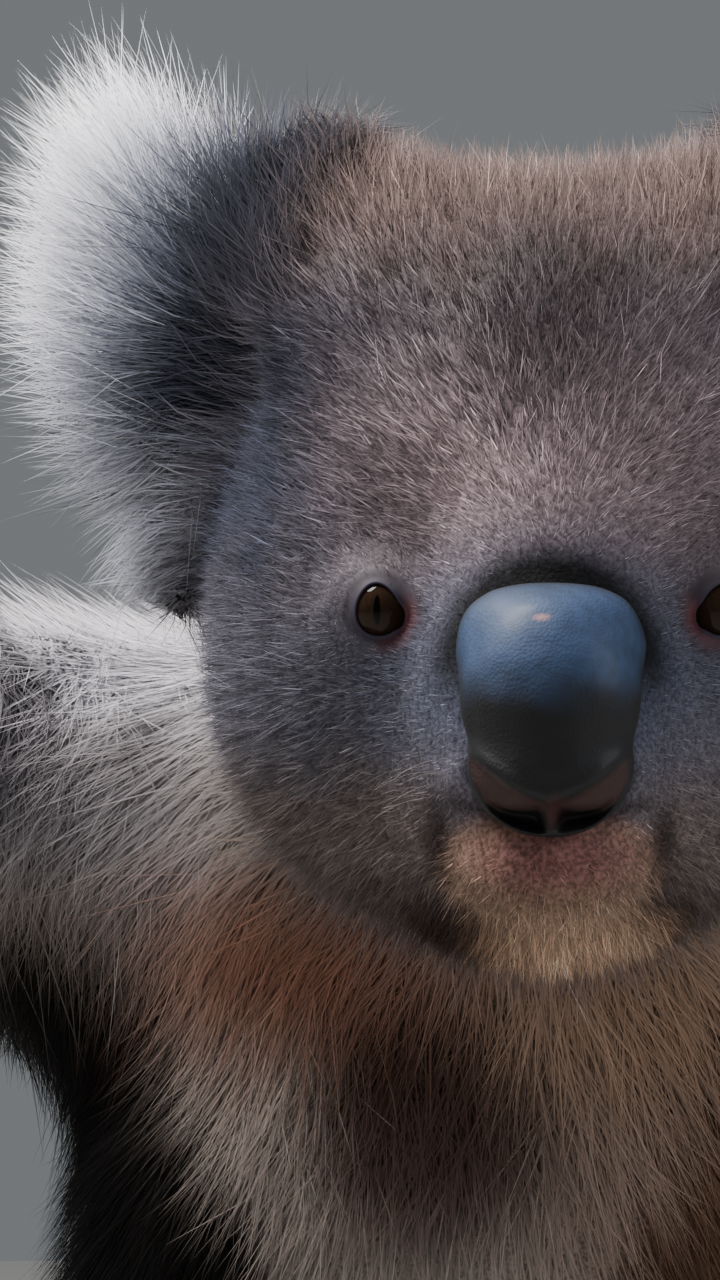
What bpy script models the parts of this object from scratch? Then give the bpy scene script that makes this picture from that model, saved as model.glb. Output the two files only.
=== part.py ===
"""A life-size koala, an adult male of the southern kind, sitting on the floor with its hands on its knees.

Metres, +Z up. It faces -Y, so its own right side is at -X. It sits at Z = 0, and the origin is the middle
of the flat under its rump. The solids reach out to the tips of the coat. Its body is shaped whole, from
named masses that are melted together, and is then parted by thin cuts where a person would name its parts.
"""

import math

import bmesh
import bpy
from mathutils import Euler, Matrix, Vector

GAP = 0.0004  # left between neighbouring parts
CUT_SIDES = 40
SIDES = {"right": -1, "left": 1}

# The head's own place: the point midway between the eyes.
# It is carried forward of the chest, a little to the left.
EYE_LINE = Vector((0.022, -0.180, 0.420))
EYE_SPACING = 0.0670
EYE_RADIUS = 0.0088
EYE_SETBACK = -0.0092

# How fine each stage of melting is, and how far it rounds the creases.
TRUNK_VOXEL, TRUNK_ROUNDING = 0.008, 22
LIMB_VOXEL, LIMB_ROUNDING = 0.005, 10
FINE_VOXEL, FINE_ROUNDING = 0.003, 5
NOSE_VOXEL, NOSE_ROUNDING = 0.0015, 14
BODY_KEPT, NOSE_KEPT = 0.0121, 0.050  # shares of the melted faces that the solids keep

# Masses are (centre, radii, turn in degrees). Those of the trunk stand in the model's own frame.
TRUNK = {
    "rump": ((0, 0.000, 0.104), (0.130, 0.116, 0.114), (0, 0, 0)),
    "belly": ((0, -0.040, 0.150), (0.112, 0.098, 0.116), (0, 0, 0)),
    "back": ((0, 0.028, 0.212), (0.102, 0.098, 0.165), (5, 0, 0)),
    "ribs": ((0, -0.034, 0.225), (0.102, 0.088, 0.140), (0, 0, 0)),
    "chest": ((0, -0.038, 0.278), (0.094, 0.086, 0.102), (0, 0, 0)),
    "withers": ((0.003, 0.008, 0.322), (0.096, 0.084, 0.096), (-12, 0, 0)),
}
# Those of the head stand about EYE_LINE.
HEAD = {
    "cranium": ((0, 0.047, 0.031), (0.061, 0.071, 0.067), (0, 0, 0)),
    "occiput": ((0, 0.085, 0.010), (0.060, 0.047, 0.062), (0, 0, 0)),
    "jaw": ((0, 0.018, -0.042), (0.047, 0.051, 0.037), (0, 0, 0)),
    "snout": ((0, -0.014, -0.016), (0.030, 0.033, 0.034), (0, 0, 0)),
    "bridge": ((0, -0.008, 0.016), (0.026, 0.026, 0.030), (0, 0, 0)),
}
HEAD_PAIRED = {
    "temple": ((0.034, 0.045, 0.053), (0.038, 0.051, 0.050), (0, 0, 0)),
    "cheek": ((0.036, 0.034, -0.008), (0.0415, 0.051, 0.059), (0, 0, 0)),
    "brow": ((0.025, 0.006, 0.032), (0.026, 0.024, 0.022), (0, 0, -14)),
}
FACE = {"muzzle": ((0, -0.026, -0.024), (0.0225, 0.022, 0.022), (0, 0, 0))}
FACE_PAIRED = {
    "whisker_pad": ((0.0120, -0.0270, -0.0330), (0.0135, 0.0150, 0.0135), (0, 0, 0)),
    "ear": ((0.085, 0.068, 0.063), (0.041, 0.023, 0.067), (0, 9, 24)),
    "ear_root": ((0.058, 0.062, 0.062), (0.026, 0.024, 0.050), (0, 6, 0)),
}
EAR_BOWL = ((0.088, 0.032, 0.060), (0.028, 0.021, 0.042), (0, 9, 24))
NOSE = {
    "pad": ((0, -0.0335, -0.0070), (0.0188, 0.0140, 0.0160), (-30, 0, 0)),
    "ridge": ((0, -0.0385, -0.0190), (0.0178, 0.0160, 0.0240), (0, 0, 0)),
    "tip": ((0, -0.0395, -0.0310), (0.0172, 0.0145, 0.0150), (0, 0, 0)),
}
LOWER_JAW = ((0, -0.0225, -0.0510), (0.0220, 0.0225, 0.0150), (14, 0, 0))

NECK = [(Vector((0.006, -0.030, 0.352)), 0.084), (EYE_LINE + Vector((0, 0.082, -0.012)), 0.068)]
# Limbs are runs of (point, radius) from the trunk outwards. The leg is written for the left side.
ARMS = {
    "right": [
        ((-0.060, -0.012, 0.362), 0.062),
        ((-0.104, -0.018, 0.378), 0.052),
        ((-0.150, -0.030, 0.370), 0.050),
        ((-0.200, -0.046, 0.346), 0.048),
        ((-0.188, -0.098, 0.290), 0.045),
        ((-0.172, -0.146, 0.240), 0.032),
    ],
    "left": [
        ((0.058, -0.012, 0.345), 0.062),
        ((0.096, -0.018, 0.343), 0.053),
        ((0.135, -0.022, 0.306), 0.050),
        ((0.169, -0.026, 0.265), 0.046),
        ((0.168, -0.090, 0.253), 0.043),
        ((0.152, -0.146, 0.238), 0.032),
    ],
}
LEG = [
    ((0.066, -0.020, 0.098), 0.088),
    ((0.104, -0.068, 0.112), 0.083),
    ((0.140, -0.120, 0.130), 0.067),
    ((0.143, -0.140, 0.096), 0.057),
    ((0.141, -0.148, 0.058), 0.046),
    ((0.140, -0.144, 0.035), 0.036),
    ((0.147, -0.180, 0.027), 0.033),
]

# A paw: where its middle is, which way it points and which way its back faces, for each side.
HANDS = {
    "right": {"middle": (-0.163, -0.174, 0.214), "ahead": (0.16, -0.78, -0.60), "back": (-0.10, -0.60, 0.80)},
    "left": {"middle": (0.149, -0.175, 0.214), "ahead": (-0.05, -0.80, -0.60), "back": (0.05, -0.60, 0.80)},
}
PALM_RADII = (0.025, 0.031, 0.0165)
FOOT_AHEAD = (0.20, -0.98, 0.0)
FOOT_MIDDLE = (0.150, -0.196, 0.0165)
SOLE_RADII = (0.035, 0.040, 0.0210)
# Digits are (across, along, spread in degrees, length, radius, curl in degrees, claw length).
# Across is towards the midline. Each hand has two thumbs. On the foot the first toe has no claw, and the next two are fused.
FINGERS = [
    (0.017, -0.006, 58, 0.031, 0.0088, 34, 0.019),
    (0.016, 0.010, 30, 0.035, 0.0088, 36, 0.021),
    (0.004, 0.021, 2, 0.036, 0.0090, 40, 0.023),
    (-0.008, 0.020, -13, 0.037, 0.0090, 40, 0.023),
    (-0.018, 0.012, -30, 0.034, 0.0086, 38, 0.021),
]
TOES = [
    (0.024, -0.010, 66, 0.031, 0.0120, 6, 0),
    (0.017, 0.016, 17, 0.024, 0.0082, 14, 0.015),
    (0.005, 0.020, 8, 0.026, 0.0084, 14, 0.016),
    (-0.007, 0.020, -6, 0.032, 0.0105, 12, 0.020),
    (-0.022, 0.014, -21, 0.029, 0.0105, 12, 0.019),
]
JOINTS_PER_DIGIT = 3
CLAW_SWEEP = {"hand": 62, "foot": 36}  # degrees that a claw bends through
CLAW_ROOT, CLAW_TIP = 0.0034, 0.0005  # radii
CLAW_STEPS = 3
CLAW_START = 0.0045  # from the last joint to the claw's root, which lies inside the digit

# Cuts are (the piece cut, the part taken off, a point on the cut, the way to the part, the disc's radius).
CUTS = [
    ("body", "ear_right", (-0.034, -0.116, 0.478), (-0.86, 0.12, 0.40), 0.072),
    ("body", "ear_left", (0.078, -0.116, 0.478), (0.86, 0.12, 0.40), 0.072),
    ("body", "upper_arm_right", (-0.108, -0.018, 0.370), (-0.98, 0, 0.10), 0.072),
    ("upper_arm_right", "forearm_right", (-0.202, -0.050, 0.340), (-0.44, -0.58, -0.69), 0.070),
    ("forearm_right", "hand_right", (-0.171, -0.150, 0.236), (0.14, -0.78, -0.60), 0.048),
    ("body", "upper_arm_left", (0.117, -0.020, 0.324), (1, 0, 0.05), 0.085),
    ("upper_arm_left", "forearm_left", (0.166, -0.034, 0.258), (0.34, -0.69, -0.64), 0.068),
    ("forearm_left", "hand_left", (0.152, -0.150, 0.235), (-0.04, -0.88, -0.48), 0.046),
    ("body", "thigh_right", (-0.121, -0.093, 0.128), (-0.62, -0.76, 0.18), 0.113),
    ("body", "thigh_left", (0.121, -0.093, 0.128), (0.62, -0.76, 0.18), 0.113),
    ("thigh_right", "shin_right", (-0.141, -0.126, 0.122), (-0.39, -0.84, -0.38), 0.110),
    ("thigh_left", "shin_left", (0.141, -0.126, 0.122), (0.39, -0.84, -0.38), 0.110),
    ("shin_right", "foot_right", (-0.141, -0.152, 0.050), (-0.05, -0.36, -0.93), 0.066),
    ("shin_left", "foot_left", (0.141, -0.152, 0.050), (0.05, -0.36, -0.93), 0.066),
    ("body", "head", (0.020, -0.090, 0.402), (0.08, -0.86, 0.50), 0.125),
    ("body", "neck", (0.017, -0.070, 0.390), (0.18, -0.80, 0.58), 0.118),
]

# Colour, roughness and metallic value, for each kind of part. A part's kind is the start of its name.
LOOKS = {
    "nose": ((0.018, 0.019, 0.022, 1), 0.45, 0.0),
    "eye": ((0.045, 0.020, 0.010, 1), 0.08, 0.0),
    "claw": ((0.050, 0.040, 0.034, 1), 0.35, 0.0),
    "ear": ((0.680, 0.670, 0.660, 1), 0.95, 0.0),
    "lower_jaw": ((0.420, 0.360, 0.300, 1), 0.95, 0.0),
    "": ((0.150, 0.135, 0.130, 1), 0.95, 0.0),  # the grey coat of all the rest
}


def clear_scene():
    for obj in list(bpy.data.objects):
        bpy.data.objects.remove(obj)


def own_material(name):
    """A Principled material of that part's own, with the look of its kind."""
    colour, roughness, metallic = next(look for kind, look in LOOKS.items() if name.startswith(kind))
    material = bpy.data.materials.new(name)
    material.use_nodes = True
    shader = material.node_tree.nodes["Principled BSDF"]
    shader.inputs["Base Color"].default_value = colour
    shader.inputs["Roughness"].default_value = roughness
    shader.inputs["Metallic"].default_value = metallic
    return material


def add_object(name, bm, collection):
    """Turns a bmesh into an object in the collection."""
    mesh = bpy.data.meshes.new(name)
    bm.to_mesh(mesh)
    bm.free()
    obj = bpy.data.objects.new(name, mesh)
    collection.objects.link(obj)
    return obj


def evaluated_mesh(obj):
    """What the object's modifiers, or its curve, make of it."""
    bpy.context.view_layer.update()
    graph = bpy.context.evaluated_depsgraph_get()
    return bpy.data.meshes.new_from_object(obj.evaluated_get(graph))


def settle(obj):
    """Replaces an object's mesh by what its modifiers make of it."""
    mesh = evaluated_mesh(obj)
    obj.modifiers.clear()
    obj.data = mesh
    return obj


def add_shape(bm, make, **settings):
    """Adds a primitive that is made in a bmesh of its own, which stays quick when bm is large."""
    own = bmesh.new()
    make(own, **settings)
    mesh = bpy.data.meshes.new("primitive")
    own.to_mesh(mesh)
    own.free()
    bm.from_mesh(mesh)
    bpy.data.meshes.remove(mesh)


def add_ball(bm, shape, segments=32, rings=20):
    """A unit ball, placed and stretched by a matrix."""
    add_shape(bm, bmesh.ops.create_uvsphere, u_segments=segments, v_segments=rings, radius=1, matrix=shape)


def add_mass(bm, mass, about=Vector(), side=1):
    """An ellipsoid. On side -1 it is the mirror image of the one on side 1."""
    centre, radii, turn = mass
    turned = Euler([math.radians(angle) for angle in turn]).to_matrix().to_4x4()
    mirrored = Matrix.Diagonal((side, 1, 1, 1))
    place = Matrix.Translation(about) @ mirrored @ Matrix.Translation(centre) @ turned @ mirrored
    add_ball(bm, place @ Matrix.Diagonal((*radii, 1)))


def add_limb(bm, joints):
    """A run of tapered lengths with a ball at each joint."""
    for point, radius in joints:
        add_ball(bm, Matrix.Translation(point) @ Matrix.Diagonal((radius, radius, radius, 1)), 24, 14)
    for (start, first), (end, last) in zip(joints, joints[1:]):
        run = end - start
        turned = run.to_track_quat("Z", "Y").to_matrix().to_4x4()
        middle = Matrix.Translation((start + end) / 2) @ turned
        cone = {"cap_ends": True, "segments": 24, "radius1": first, "radius2": last, "depth": run.length}
        add_shape(bm, bmesh.ops.create_cone, matrix=middle, **cone)


def mirrored(point, side):
    return Vector((side * point[0], point[1], point[2]))


def joints_of(limb, side=1):
    return [(mirrored(point, side), radius) for point, radius in limb]


def paw_axes(ahead, back, side):
    """Columns: towards the midline, ahead, and out of the paw's back."""
    ahead = Vector(ahead).normalized()
    back = (Vector(back) - Vector(back).project(ahead)).normalized()
    across = ahead.cross(back) * side
    return Matrix((across, ahead, back)).transposed()


def digit_path(middle, axes, digit):
    """The digit's joints from its root to its tip, and the way that its tip points."""
    across, along, spread, length, _, curl, _ = digit
    turn = math.radians(spread)
    heading = Vector((math.sin(turn), math.cos(turn), 0))
    point = middle + axes @ Vector((across, along, 0))
    points = [point]
    for joint in range(1, JOINTS_PER_DIGIT + 1):
        bend = math.radians(curl) * joint / JOINTS_PER_DIGIT
        local = heading * math.cos(bend) + Vector((0, 0, -math.sin(bend)))
        point = point + axes @ local * (length / JOINTS_PER_DIGIT)
        points.append(point)
    return points, (points[-1] - points[-2]).normalized()


def add_paw(bm, middle, axes, pad_radii, digits):
    """The palm or sole, with a tapered run for each digit."""
    add_ball(bm, Matrix.Translation(middle) @ axes.to_4x4() @ Matrix.Diagonal((*pad_radii, 1)))
    for digit in digits:
        points, _ = digit_path(middle, axes, digit)
        radius = digit[4]
        add_limb(bm, [(point, radius * (1.12 - 0.08 * step)) for step, point in enumerate(points)])


def melt(obj, voxel, rounding):
    """Melts overlapping masses into one skin, and rounds the creases between them."""
    remesh = obj.modifiers.new("one_skin", "REMESH")
    remesh.mode = "VOXEL"
    remesh.voxel_size = voxel
    smooth = obj.modifiers.new("round_creases", "SMOOTH")
    smooth.factor = 0.5
    smooth.iterations = rounding
    return settle(obj)


def join(bm, obj):
    """Adds the shapes of a bmesh to an object."""
    bm.from_mesh(obj.data)
    bm.to_mesh(obj.data)
    bm.free()


def thin_out(obj, share):
    decimate = obj.modifiers.new("fewer_faces", "DECIMATE")
    decimate.ratio = share
    return settle(obj)


def subtract(obj, cutter):
    """Cuts one solid from another with the exact solver."""
    boolean = obj.modifiers.new("cut", "BOOLEAN")
    boolean.operation = "DIFFERENCE"
    boolean.object = cutter
    return settle(obj)


def as_cutter(obj, cutters):
    """Keeps an object as a guide that no render and no build shows."""
    for collection in obj.users_collection:
        collection.objects.unlink(obj)
    cutters.objects.link(obj)
    obj.hide_render = True
    obj.display_type = "WIRE"
    return obj


def swollen(obj, by, cutters):
    """A copy of a closed solid that is larger by that much all round."""
    bm = bmesh.new()
    bm.from_mesh(obj.data)
    bm.normal_update()
    normals = [vert.normal.copy() for vert in bm.verts]
    for vert, normal in zip(bm.verts, normals):
        vert.co += normal * by
    return as_cutter(add_object(obj.name + "_bed", bm, cutters), cutters)


def paws():
    """Every paw as (name, side, middle, axes, pad radii, digits)."""
    found = []
    for name, side in SIDES.items():
        hand = HANDS[name]
        axes = paw_axes(hand["ahead"], hand["back"], side)
        found.append((f"hand_{name}", side, Vector(hand["middle"]), axes, PALM_RADII, FINGERS))
        axes = paw_axes(mirrored(FOOT_AHEAD, side), (0, 0, 1), side)
        found.append((f"foot_{name}", side, mirrored(FOOT_MIDDLE, side), axes, SOLE_RADII, TOES))
    return found


def shape_body(collection):
    """The whole coat-covered body as one solid: the trunk, the head and limbs, then face, ears and paws."""
    bm = bmesh.new()
    for mass in TRUNK.values():
        add_mass(bm, mass)
    body = melt(add_object("body", bm, collection), TRUNK_VOXEL, TRUNK_ROUNDING)

    bm = bmesh.new()
    for mass in HEAD.values():
        add_mass(bm, mass, EYE_LINE)
    add_limb(bm, NECK)
    for name, side in SIDES.items():
        for mass in HEAD_PAIRED.values():
            add_mass(bm, mass, EYE_LINE, side)
        add_limb(bm, joints_of(ARMS[name]))
        add_limb(bm, joints_of(LEG, side))
    join(bm, body)
    body = melt(body, LIMB_VOXEL, LIMB_ROUNDING)

    bm = bmesh.new()
    for mass in FACE.values():
        add_mass(bm, mass, EYE_LINE)
    for side in SIDES.values():
        for mass in FACE_PAIRED.values():
            add_mass(bm, mass, EYE_LINE, side)
    for _, _, middle, axes, pad_radii, digits in paws():
        add_paw(bm, middle, axes, pad_radii, digits)
    join(bm, body)
    return melt(body, FINE_VOXEL, FINE_ROUNDING)


def hollow_ears(body, cutters):
    for name, side in SIDES.items():
        bm = bmesh.new()
        add_mass(bm, EAR_BOWL, EYE_LINE, side)
        bmesh.ops.recalc_face_normals(bm, faces=bm.faces)
        bowl = as_cutter(add_object(f"bowl_{name}", bm, cutters), cutters)
        body = subtract(body, bowl)
    return body


def stand_on_floor(body):
    """Takes off what is below the floor, which leaves flats under the rump and the feet."""
    bm = bmesh.new()
    bm.from_mesh(body.data)
    everything = bm.verts[:] + bm.edges[:] + bm.faces[:]
    up = (0, 0, 1)
    made = bmesh.ops.bisect_plane(bm, geom=everything, plane_co=(0, 0, 0), plane_no=up, clear_inner=True)
    rim = [item for item in made["geom_cut"] if isinstance(item, bmesh.types.BMEdge)]
    bmesh.ops.triangle_fill(bm, edges=rim, use_beauty=True, normal=(0, 0, -1))
    bmesh.ops.recalc_face_normals(bm, faces=bm.faces)
    bm.to_mesh(body.data)
    bm.free()
    return body


def islands(bm):
    """The separate bodies of a mesh, each as a set of faces."""
    left = set(bm.faces)
    found = []
    while left:
        todo = [left.pop()]
        island = set(todo)
        while todo:
            for edge in todo.pop().edges:
                near = [face for face in edge.link_faces if face in left]
                left.difference_update(near)
                island.update(near)
                todo += near
        found.append(island)
    return found


def take_off(piece, name, at, towards, radius, collection, cutters):
    """Cuts a piece with a thin disc, and gives what lies towards that side of it an object of its own."""
    at = Vector(at)
    towards = Vector(towards).normalized()
    bm = bmesh.new()
    place = Matrix.Translation(at) @ towards.to_track_quat("Z", "Y").to_matrix().to_4x4()
    bmesh.ops.create_cone(
        bm, cap_ends=True, segments=CUT_SIDES, radius1=radius, radius2=radius, depth=GAP, matrix=place
    )
    disc = as_cutter(add_object(f"cut_{name}", bm, cutters), cutters)
    piece = subtract(piece, disc)

    bm = bmesh.new()
    bm.from_mesh(piece.data)
    found = islands(bm)
    for island in found:
        near = [v.co for face in island for v in face.verts if (v.co - at).length < radius]
        if near and sum((co - at).dot(towards) for co in near) > 0:
            break
    if len(found) < 2 or not near:
        raise RuntimeError(f"the cut for {name} doesn't go through")
    taken = {face.index for face in island}
    copy = bmesh.new()
    copy.from_mesh(piece.data)
    copy.faces.ensure_lookup_table()
    bmesh.ops.delete(copy, geom=[face for face in copy.faces if face.index not in taken], context="FACES")
    bmesh.ops.delete(bm, geom=list(island), context="FACES")
    bm.to_mesh(piece.data)
    bm.free()
    return add_object(name, copy, collection)


def part_body(body, collection, cutters):
    """Divides the body along CUTS. What is left of it is the trunk."""
    parts = {"body": body}
    for piece, name, at, towards, radius in CUTS:
        parts[name] = take_off(parts[piece], name, at, towards, radius, collection, cutters)
    parts["trunk"] = parts.pop("body")
    parts["trunk"].name = "trunk"
    return parts


def make_nose(collection):
    """The bare leather pad, from the level of the eyes down to the nostrils."""
    bm = bmesh.new()
    for mass in NOSE.values():
        add_mass(bm, mass, EYE_LINE)
    nose = melt(add_object("nose", bm, collection), NOSE_VOXEL, NOSE_ROUNDING)
    return thin_out(nose, NOSE_KEPT)


def make_lower_jaw(collection):
    bm = bmesh.new()
    centre, radii, turn = LOWER_JAW
    turned = Euler([math.radians(angle) for angle in turn]).to_matrix().to_4x4()
    size = Matrix.Diagonal((*radii, 1))
    add_ball(bm, Matrix.Translation(EYE_LINE + Vector(centre)) @ turned @ size, 18, 10)
    return add_object("lower_jaw", bm, collection)


def make_eye(name, side, collection):
    bm = bmesh.new()
    middle = EYE_LINE + Vector((side * EYE_SPACING / 2, EYE_SETBACK, 0))
    add_ball(bm, Matrix.Translation(middle) @ Matrix.Diagonal((*[EYE_RADIUS] * 3, 1)), 16, 9)
    return add_object(f"eye_{name}", bm, collection)


def make_claw(name, points, heading, axes, length, collection):
    """A tapered claw that starts inside its digit and bends towards the palm."""
    sweep = math.radians(CLAW_SWEEP[name.split("_")[1]])
    bend = length / sweep
    palmward = (-axes.col[2] - (-axes.col[2]).project(heading)).normalized()
    root = points[-1] + heading * CLAW_START
    curve = bpy.data.curves.new(name, "CURVE")
    curve.dimensions = "3D"
    curve.bevel_depth = 1
    curve.bevel_resolution = 1
    curve.use_fill_caps = True
    spline = curve.splines.new("POLY")
    spline.points.add(CLAW_STEPS)
    for step, point in enumerate(spline.points):
        share = step / CLAW_STEPS
        angle = sweep * share
        place = root + (heading * math.sin(angle) + palmward * (1 - math.cos(angle))) * bend
        point.co = (*place, 1)
        point.radius = CLAW_ROOT + (CLAW_TIP - CLAW_ROOT) * share**0.8
    arc = bpy.data.objects.new(name, curve)
    collection.objects.link(arc)
    bm = bmesh.new()
    bm.from_mesh(evaluated_mesh(arc))
    bpy.data.objects.remove(arc)
    bmesh.ops.remove_doubles(bm, verts=bm.verts, dist=0.00001)
    bmesh.ops.recalc_face_normals(bm, faces=bm.faces)
    return add_object(name, bm, collection)


def bed(part, guest, cutters):
    """Makes room in a part for what sits in it."""
    return subtract(part, swollen(guest, GAP, cutters))


def fit_face(parts, collection, cutters):
    """Beds the nose, lower jaw and eyes in the head."""
    parts["nose"] = make_nose(collection)
    parts["lower_jaw"] = make_lower_jaw(collection)
    bed(parts["lower_jaw"], parts["nose"], cutters)
    for guest in ("nose", "lower_jaw"):
        bed(parts["head"], parts[guest], cutters)
    for name, side in SIDES.items():
        parts[f"eye_{name}"] = make_eye(name, side, collection)
        bed(parts["head"], parts[f"eye_{name}"], cutters)


def fit_claws(parts, collection, cutters):
    """Beds a claw in the tip of each digit that has one."""
    for paw, _, middle, axes, _, digits in paws():
        for number, digit in enumerate(digits, start=1):
            if not digit[6]:
                continue
            points, heading = digit_path(middle, axes, digit)
            claw = make_claw(f"claw_{paw}_{number}", points, heading, axes, digit[6], collection)
            parts[claw.name] = claw
            bed(parts[paw], claw, cutters)


def paint(parts):
    for name, part in parts.items():
        part.data.materials.clear()
        part.data.materials.append(own_material(name))
        part.data.shade_smooth()


def main():
    clear_scene()
    collection = bpy.data.collections.new("koala")
    cutters = bpy.data.collections.new("cutters")
    for group in (collection, cutters):
        bpy.context.scene.collection.children.link(group)
    body = thin_out(shape_body(collection), BODY_KEPT)
    body = stand_on_floor(hollow_ears(body, cutters))
    parts = part_body(body, collection, cutters)
    fit_face(parts, collection, cutters)
    fit_claws(parts, collection, cutters)
    paint(parts)


main()
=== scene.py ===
import math
import bmesh
import bpy
import numpy as np
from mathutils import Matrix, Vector
from mathutils.bvhtree import BVHTree
from mathutils.kdtree import KDTree


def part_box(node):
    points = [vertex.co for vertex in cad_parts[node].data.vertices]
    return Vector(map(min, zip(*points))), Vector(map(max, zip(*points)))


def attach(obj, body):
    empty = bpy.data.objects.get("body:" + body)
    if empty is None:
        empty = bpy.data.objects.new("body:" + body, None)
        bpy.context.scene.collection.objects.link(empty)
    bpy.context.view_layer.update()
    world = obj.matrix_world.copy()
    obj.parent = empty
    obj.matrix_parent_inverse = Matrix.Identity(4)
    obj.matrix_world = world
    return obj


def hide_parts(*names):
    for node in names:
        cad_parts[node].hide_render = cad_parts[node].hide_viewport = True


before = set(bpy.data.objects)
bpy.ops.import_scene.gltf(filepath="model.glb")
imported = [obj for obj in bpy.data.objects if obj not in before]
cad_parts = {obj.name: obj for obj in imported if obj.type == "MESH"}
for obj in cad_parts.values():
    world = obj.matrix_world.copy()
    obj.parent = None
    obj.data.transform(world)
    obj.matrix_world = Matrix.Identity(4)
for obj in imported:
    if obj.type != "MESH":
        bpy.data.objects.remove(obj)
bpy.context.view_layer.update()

mm = 0.001
sides = {"right": -1, "left": 1}  # the koala's own, which faces -Y


def middleOf(*names):
    corners = np.array([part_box(name) for name in names])
    return (corners[:, 0].min(axis=0) + corners[:, 1].max(axis=0)) / 2


eyeMiddle = {side: middleOf("eye_" + side) for side in sides}
eyeLine = middleOf("eye_right", "eye_left")
eyeRadius = (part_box("eye_left")[1][0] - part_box("eye_left")[0][0]) / 2
noseMiddle = middleOf("nose")
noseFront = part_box("nose")[0][1]
muzzle = np.array([eyeLine[0], noseFront + 0.02, noseMiddle[2]])

# Camera, light and floor

view = {
    "distance": 1.391,  # from the eyes
    "aside": -0.0386,   # where it aims, from the midline of the head
    "above": -0.0065,   # and from the level of the eyes
    "lens": 193.0,
}


def addCamera():
    data = bpy.data.cameras.new("camera")
    data.lens = view["lens"]
    data.sensor_width = 36
    data.clip_start = 0.05
    camera = bpy.data.objects.new("camera", data)
    bpy.context.scene.collection.objects.link(camera)
    camera.location = (eyeLine[0], eyeLine[1] - view["distance"], eyeLine[2] + view["above"])
    aim = Vector((eyeLine[0] + view["aside"], eyeLine[1], eyeLine[2] + view["above"]))
    camera.rotation_euler = (aim - camera.location).to_track_quat("-Z", "Y").to_euler()
    bpy.context.scene.camera = camera


lightSet = {
    # place from the eyes, size, watts, colour
    "key": ((-0.85, 0.10, 1.50), 0.9, 140, (1.0, 0.985, 0.97)),
    "front": ((-0.45, -1.9, 0.95), 1.5, 15, (0.93, 0.96, 1.0)),
    "far side": ((1.6, -0.5, 0.7), 1.2, 26, (0.95, 0.97, 1.0)),
}
roomLight = (0.175, 0.185, 0.195)
floorColour = (0.43, 0.425, 0.41)


def addLights():
    target = Vector(eyeLine) + Vector((0, 0.03, -0.05))
    for name, (place, size, watts, colour) in lightSet.items():
        data = bpy.data.lights.new(name, "AREA")
        data.shape = "DISK"
        data.size = size
        data.energy = watts
        data.color = colour
        light = bpy.data.objects.new(name, data)
        bpy.context.scene.collection.objects.link(light)
        light.location = Vector(eyeLine) + Vector(place)
        light.rotation_euler = (target - light.location).to_track_quat("-Z", "Y").to_euler()
        light.visible_glossy = name != "front"
    world = bpy.data.worlds.new("room")
    world.use_nodes = True
    world.node_tree.nodes["Background"].inputs["Color"].default_value = (*roomLight, 1)
    bpy.context.scene.world = world


def setInputs(tree, node, inputs):
    # Each input gets a value, or the output of another node
    for key, value in inputs.items():
        if isinstance(value, bpy.types.NodeSocket):
            tree.links.new(value, node.inputs[key])
        else:
            node.inputs[key].default_value = value


def addNode(tree, kind, inputs=None, **settings):
    node = tree.nodes.new(kind)
    for key, value in settings.items():
        setattr(node, key, value)
    setInputs(tree, node, inputs or {})
    return node


def newMaterial(name, roughness, colour=None, inputs=None):
    # Without a colour of its own, it takes the colours that its mesh carries
    material = bpy.data.materials.new(name)
    material.use_nodes = True
    tree = material.node_tree
    shader = tree.nodes["Principled BSDF"]
    if colour is None:
        colour = addNode(tree, "ShaderNodeAttribute", attribute_name="coat").outputs["Color"]
    else:
        colour = (*colour, 1)
    setInputs(tree, shader, {"Base Color": colour, "Roughness": roughness, **(inputs or {})})
    return material, tree, shader


def addBump(tree, shader, height, strength, distance):
    bump = addNode(tree, "ShaderNodeBump", {"Height": height, "Strength": strength, "Distance": distance})
    setInputs(tree, shader, {"Normal": bump.outputs["Normal"]})


def addFloor():
    bm = bmesh.new()
    bmesh.ops.create_circle(bm, cap_ends=True, segments=96, radius=3.0)
    floor = addPiece("floor", newMesh("floor", bm))
    floor.data.materials.append(newMaterial("floorPaint", 0.7, floorColour)[0])


# Measuring and moving meshes

def readAll(items, key, width=3, kind=float):
    # One value of all the points, edges, triangles or corners, as rows
    values = np.empty(len(items) * width, kind)
    items.foreach_get(key, values)
    return values.reshape(-1, width)


def pointsOf(mesh):
    return readAll(mesh.vertices, "co")


def normalsOf(mesh):
    return readAll(mesh.vertices, "normal")


def edgesOf(mesh):
    return readAll(mesh.edges, "vertices", 2, int)


def trianglesOf(mesh):
    mesh.calc_loop_triangles()
    return [readAll(mesh.loop_triangles, key, 3, int) for key in ("vertices", "loops")]


def treeOf(mesh):
    return BVHTree.FromPolygons([v.co for v in mesh.vertices], [f.vertices[:] for f in mesh.polygons])


def setPoints(mesh, points):
    mesh.vertices.foreach_set("co", points.ravel())
    mesh.update()


def spread(values, edges, rounds, share=0.5):
    # Evens a value out over the mesh, from each point to its neighbours
    flat = values.reshape(len(values), -1).astype(float)
    a, b = edges.T
    count = np.bincount(np.r_[a, b], minlength=len(flat))[:, None]
    for _ in range(rounds):
        near = np.stack([
            np.bincount(np.r_[a, b], weights=np.r_[flat[b, k], flat[a, k]], minlength=len(flat))
            for k in range(flat.shape[1])
        ], axis=1) / np.maximum(count, 1)
        flat += (near - flat) * share
    return flat.reshape(values.shape)


def unit(vectors):
    return vectors / np.maximum(np.linalg.norm(vectors, axis=-1, keepdims=True), 1e-9)


def farFrom(points, place):
    return np.linalg.norm(points - place, axis=1)


def eyesNear(points):
    # How far each point is from the nearer eye
    return np.min([farFrom(points, place) for place in eyeMiddle.values()], axis=0)


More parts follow.
